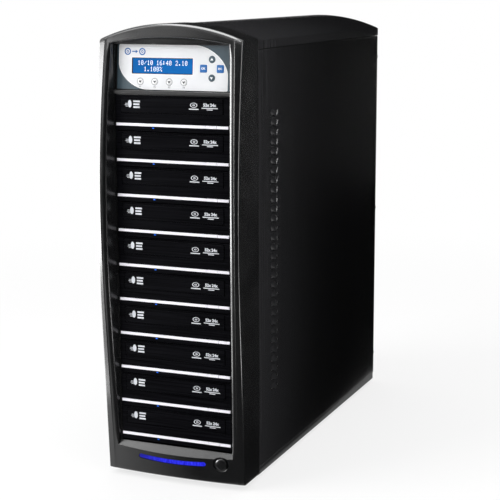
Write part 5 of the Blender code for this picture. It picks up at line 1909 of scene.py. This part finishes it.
def object_vector(tree, operation):
    """A vector operation on Object coordinates."""
    made = tree.nodes.new("ShaderNodeVectorMath")
    made.operation = operation
    tree.links.new(tree.nodes.new("ShaderNodeTexCoord").outputs["Object"], made.inputs[0])
    return made


def flag_wall(start, end, radius, low, high):
    """Points and faces of a standing card from one azimuth to another."""
    steps = 8
    points = []
    for i in range(steps + 1):
        azimuth = math.radians(start + (end - start) * i / steps)
        x, y = radius * math.sin(azimuth), -radius * math.cos(azimuth)
        points += [(x, y, low), (x, y, high)]
    return points, [(2 * i, 2 * i + 2, 2 * i + 3, 2 * i + 1) for i in range(steps)]


def flag_sheet(*corners):
    """Points and face of a card that lies on the floor."""
    return [(x, y, FLAG_Z) for x, y in corners], [tuple(range(len(corners)))]


class DUPLICATOR_OT_stage(bpy.types.Operator):
    """Set the floor, the lights, the world and the camera"""

    bl_idname = "duplicator.stage"
    bl_label = "Studio"

    def execute(self, context):
        stage = context.scene.duplicator_stage
        self.set_world(context, stage)
        self.set_floor(stage)
        self.set_lights(stage)
        self.set_flags()
        self.set_camera(context, stage)
        return {"FINISHED"}

    def set_lights(self, stage):
        """Lights that dull surfaces see, and cards that gloss sees. A card without a target faces up."""
        lights = (
            ("Key", around(-42, 32, 2.2, TOWER_AIM), (1.3, 1.3), stage.key_power),
            ("Fill", around(60, 25, 2.6, TOWER_AIM), (1.6, 1.6), stage.fill_power),
            ("Top", (0.0, 0.0, 2.4), (1.8, 1.8), stage.top_power),
        )
        for name, place, size, power in lights:
            area_light(name, place, TOWER_AIM, size, power, "diffuse")
        rear_aim = (0, 0, 0.24)
        cards = (
            ("Left card", around(-72, 1, 1.5, RAIL_AIM), RAIL_AIM, (1.8, 0.92), stage.left_card),
            ("Left floor card", (-0.66, -0.66, 0.004), None, (0.6, 1.2), stage.low_card),
            ("Far floor card", (-1.28, -0.66, 0.004), None, (0.6, 1.2), stage.far_card),
            ("Near floor card", (-0.60, -0.345, 0.006), None, (0.6, 0.16), stage.near_card),
            ("Top card", (-0.30, -0.15, 2.2), (-0.1, -0.1, 0.5), (1.5, 1.2), stage.top_card),
            ("Sill card", (-1.62, -0.85, 2.2), (0, -0.26, 0.05), (0.9, 1.0), stage.top_card * 0.22),
            ("Right card", around(104, 4, 1.7, TOWER_AIM), TOWER_AIM, (1.5, 1.4), stage.right_card),
            ("Right floor card", (0.80, -0.12, 0.008), None, (0.7, 0.5), stage.right_card * 0.24),
            ("Rear card", around(182, 0, 2.35, rear_aim), rear_aim, (0.7, 0.48), stage.right_card * 0.13),
        )
        for name, place, target, size, power in cards:
            area_light(name, place, target or (*place[:2], 1.0), size, power, "glossy")

    def set_world(self, context, stage):
        """Light that is even all round, under a background that looks white."""
        world = bpy.data.worlds.new("Studio")
        context.scene.world = world
        world.use_nodes = True
        tree = world.node_tree
        tree.nodes.clear()
        soft, white = emitting(tree, stage.world_strength), emitting(tree, 1.0)
        out = tree.nodes.new("ShaderNodeOutputWorld")
        tree.links.new(mixed_shader(tree, seen_directly(tree), soft, white), out.inputs["Surface"])

    def set_floor(self, stage):
        """A pale floor that runs into the white background and keeps the tower's shadow."""
        mesh = bpy.data.meshes.new("Floor")
        points = [(x, y, 0) for x, y in circle(FLOOR_RADIUS, FLOOR_SEGMENTS)]
        mesh.from_pydata(points, [], [tuple(range(FLOOR_SEGMENTS))])
        floor = new_object("Floor", mesh)
        made, tree = stage_material("Floor", 0.90, 0.9)
        away = object_vector(tree, "LENGTH").outputs["Value"]
        share = mapped(tree, away, 0.5, 1.6, stage.floor_white, 1.0, interpolation_type="SMOOTHSTEP")
        lit = tree.nodes["Principled BSDF"].outputs["BSDF"]
        pale = mixed_shader(tree, share, lit, emitting(tree, 1.0))
        out = tree.nodes["Material Output"]
        tree.links.new(mixed_shader(tree, seen_directly(tree), lit, pale), out.inputs["Surface"])
        mesh.materials.append(made)

    def set_flags(self):
        """Black cards that show in the gloss alone, as a photographer keeps black gloss black."""
        made = stage_material("Flag", 0.0, 1.0)[0]
        graded = made.copy()
        tree = graded.node_tree
        along = object_vector(tree, "DOT_PRODUCT")
        along.inputs[1].default_value = (1.0, -0.76, 0.0)
        share = mapped(tree, along.outputs["Value"], 0.085, 0.235, 0.0, 0.95)
        clear = tree.nodes.new("ShaderNodeBsdfTransparent").outputs[0]
        black = tree.nodes["Principled BSDF"].outputs["BSDF"]
        out = tree.nodes["Material Output"]
        tree.links.new(mixed_shader(tree, share, clear, black), out.inputs["Surface"])
        side_corners = ((0.095, -0.262), (2.38, -0.262), (2.36, 0.42), (1.6, 1.8), (1.2, 2.09), (0.75, 2.29))
        side_corners += ((0.18, 2.39), (0.097, 0.05))
        front_corners = ((-0.12, -0.262), (-1.00, -1.42), (1.3, -1.42), (1.6, -0.262))
        for name, (points, faces), material in (
            ("Front flag", flag_wall(-38, -16, 1.45, 0.002, 0.42), made),
            ("Front right flag", flag_wall(-16, 74, 1.45, 0.002, 0.85), made),
            ("Right flag", flag_wall(74, 150, 2.4, 0.002, 0.85), made),
            ("Low flag", flag_wall(150, 174, 2.4, 0.002, 0.72), made),
            ("High flag", flag_wall(150, 188, 2.4, 0.72, 2.2), made),
            ("Rear flag", flag_wall(188, 236, 2.4, 0.66, 2.2), made),
            ("Front floor flag", flag_sheet(*front_corners), graded),
            ("Side floor flag", flag_sheet(*side_corners), made),
        ):
            mesh = bpy.data.meshes.new(name)
            mesh.from_pydata(points, [], faces)
            mesh.materials.append(material)
            flag = new_object(name, mesh)
            for kind in ("camera", "diffuse", "transmission", "volume_scatter", "shadow"):
                setattr(flag, f"visible_{kind}", False)

    def set_camera(self, context, stage):
        """The camera at the photograph's angle."""
        data = bpy.data.cameras.new("Camera")
        data.lens = stage.lens
        data.sensor_width = 36.0
        data.clip_start, data.clip_end = 0.05, 60.0
        camera = new_object("Camera", data)
        target = Vector(stage.camera_target)
        azimuth, elevation = math.degrees(stage.camera_azimuth), math.degrees(stage.camera_elevation)
        camera.location = around(azimuth, elevation, stage.camera_distance, target)
        look = (target - camera.location).to_track_quat("-Z", "Y")
        camera.rotation_mode = "QUATERNION"
        camera.rotation_quaternion = look @ Matrix.Rotation(-stage.camera_roll, 3, "Z").to_quaternion()
        context.scene.camera = camera
        context.scene.view_settings.view_transform = "Standard"


# Settings


def colour_setting(name, description, default):
    """A colour that a user may change."""
    return bpy.props.FloatVectorProperty(
        name=name, description=description, default=default, subtype="COLOR", size=3, min=0.0, max=1.0
    )


def number_setting(name, description, default, **limits):
    """A number that a user may change."""
    return bpy.props.FloatProperty(name=name, description=description, default=default, **limits)


def power_setting(name, shows_in, default):
    """The power of a light, or of a card that shows in the gloss of some part."""
    what = f"Power of the card that shows in the gloss of the {shows_in}" if "card" in name else shows_in
    return number_setting(name, what, default, min=0.0, unit="POWER")


def angle_setting(name, description, degrees):
    """An angle, given in degrees."""
    return number_setting(name, description, math.radians(degrees), subtype="ANGLE")


class DuplicatorFinishes(bpy.types.PropertyGroup):
    """Colours of the tower's finishes"""

    bezel: colour_setting("Moulding", "Colour of the front moulding", (0.0060, 0.0062, 0.0066))
    case: colour_setting("Case", "Colour of the case's sheet steel", (0.0030, 0.0030, 0.0032))
    plate: colour_setting("Plating", "Colour of the plated steel", (0.42, 0.43, 0.44))
    drive: colour_setting("Drives", "Colour of the drives' faces", (0.0022, 0.0022, 0.0030))
    tray: colour_setting("Trays", "Colour of the disc trays", (0.0024, 0.0024, 0.0032))
    silver: colour_setting("Strips", "Colour of the silver strips", (0.92, 0.90, 0.97))
    overlay: colour_setting("Overlay", "Colour of the keypad's light field", (0.74, 0.75, 0.77))
    slate: colour_setting("Overlay corners", "Colour of the keypad's dark corners", (0.030, 0.056, 0.074))
    display: colour_setting("Display", "Colour of the display", (0.002, 0.098, 0.330))
    key_slate: colour_setting("Arrow keys", "Colour of the arrow keys", (0.050, 0.085, 0.110))
    key_blue: colour_setting("Square keys", "Colour of the square keys", (0.008, 0.130, 0.420))
    key_light: colour_setting("Function keys", "Colour of the function keys", (0.84, 0.84, 0.85))
    lens: colour_setting("Light bar", "Colour of the light bar's lens", (0.010, 0.010, 0.300))


class DuplicatorStage(bpy.types.PropertyGroup):
    """Lights and camera"""

    key_power: power_setting("Key", "Power of the key light", 32.0)
    fill_power: power_setting("Fill", "Power of the fill light", 9.0)
    top_power: power_setting("Top", "Power of the top light", 31.0)
    left_card: power_setting("Left card", "left edges", 74.0)
    low_card: power_setting("Left floor card", "lower left edges", 1.6)
    far_card: power_setting("Far floor card", "right rail", 38.0)
    near_card: power_setting("Near floor card", "right rail's foot", 2.2)
    top_card: power_setting("Top card", "top edges", 48.0)
    right_card: power_setting("Right card", "right edges", 42.0)
    world_strength: number_setting("World", "Strength of the even light", 0.42, min=0.0)
    floor_white: number_setting(
        "Floor white", "Share of plain white in the floor; the rest shows the shadow", 0.76, min=0.0, max=1.0
    )
    lens: number_setting("Lens", "Focal length in millimetres", 99.66, min=1.0, unit="CAMERA")
    camera_azimuth: angle_setting("Azimuth", "Camera's angle from the front to the right", 22.71357)
    camera_elevation: angle_setting("Elevation", "Camera's angle above the horizon", 10.87901)
    camera_roll: angle_setting("Roll", "Camera's turn about its own axis", 0.22838)
    camera_distance: number_setting(
        "Distance", "Camera's distance from its target", 1.87123, min=0.1, unit="LENGTH"
    )
    camera_target: bpy.props.FloatVectorProperty(
        name="Target",
        description="Point in the middle of the view",
        default=(-0.00492, 0.0, 0.24401),
        size=3,
        subtype="TRANSLATION",
    )


STEPS = (
    DUPLICATOR_OT_stage,
    DUPLICATOR_OT_front,
    DUPLICATOR_OT_chin,
    DUPLICATOR_OT_keypad,
    DUPLICATOR_OT_keys,
    DUPLICATOR_OT_drives,
    DUPLICATOR_OT_trays,
    DUPLICATOR_OT_case,
    DUPLICATOR_OT_rear,
    DUPLICATOR_OT_feet,
)


class DUPLICATOR_PT_sidebar(bpy.types.Panel):
    """Lists the steps that build the tower"""

    bl_idname = "DUPLICATOR_PT_sidebar"
    bl_label = "Disc duplicator"
    bl_space_type = "VIEW_3D"
    bl_region_type = "UI"
    bl_category = "Duplicator"

    def draw(self, context):
        column = self.layout.column()
        for step in STEPS:
            column.operator(step.bl_idname)
        for group in (context.scene.duplicator_finishes, context.scene.duplicator_stage):
            box = self.layout.box()
            for name in group.bl_rna.properties.keys():
                if name not in ("rna_type", "name"):
                    box.prop(group, name)


CLASSES = (DuplicatorFinishes, DuplicatorStage, *STEPS, DUPLICATOR_PT_sidebar)


def register():
    """Add the classes and the scene's settings."""
    for item in CLASSES:
        bpy.utils.register_class(item)
    bpy.types.Scene.duplicator_finishes = bpy.props.PointerProperty(type=DuplicatorFinishes)
    bpy.types.Scene.duplicator_stage = bpy.props.PointerProperty(type=DuplicatorStage)


def unregister():
    """Take the classes and the scene's settings away."""
    del bpy.types.Scene.duplicator_stage
    del bpy.types.Scene.duplicator_finishes
    for item in reversed(CLASSES):
        bpy.utils.unregister_class(item)


def main():
    """Build the whole tower."""
    register()
    for old in [item for item in bpy.context.scene.objects if item.type in ("LIGHT", "CAMERA")]:
        bpy.data.objects.remove(old)
    bpy.ops.duplicator.stage()
    bpy.ops.duplicator.front()
    bpy.ops.duplicator.chin()
    bpy.ops.duplicator.keypad()
    bpy.ops.duplicator.keys()
    bpy.ops.duplicator.drives()
    bpy.ops.duplicator.trays()
    bpy.ops.duplicator.case()
    bpy.ops.duplicator.rear()
    bpy.ops.duplicator.feet()


if __name__ == "__main__":
    main()
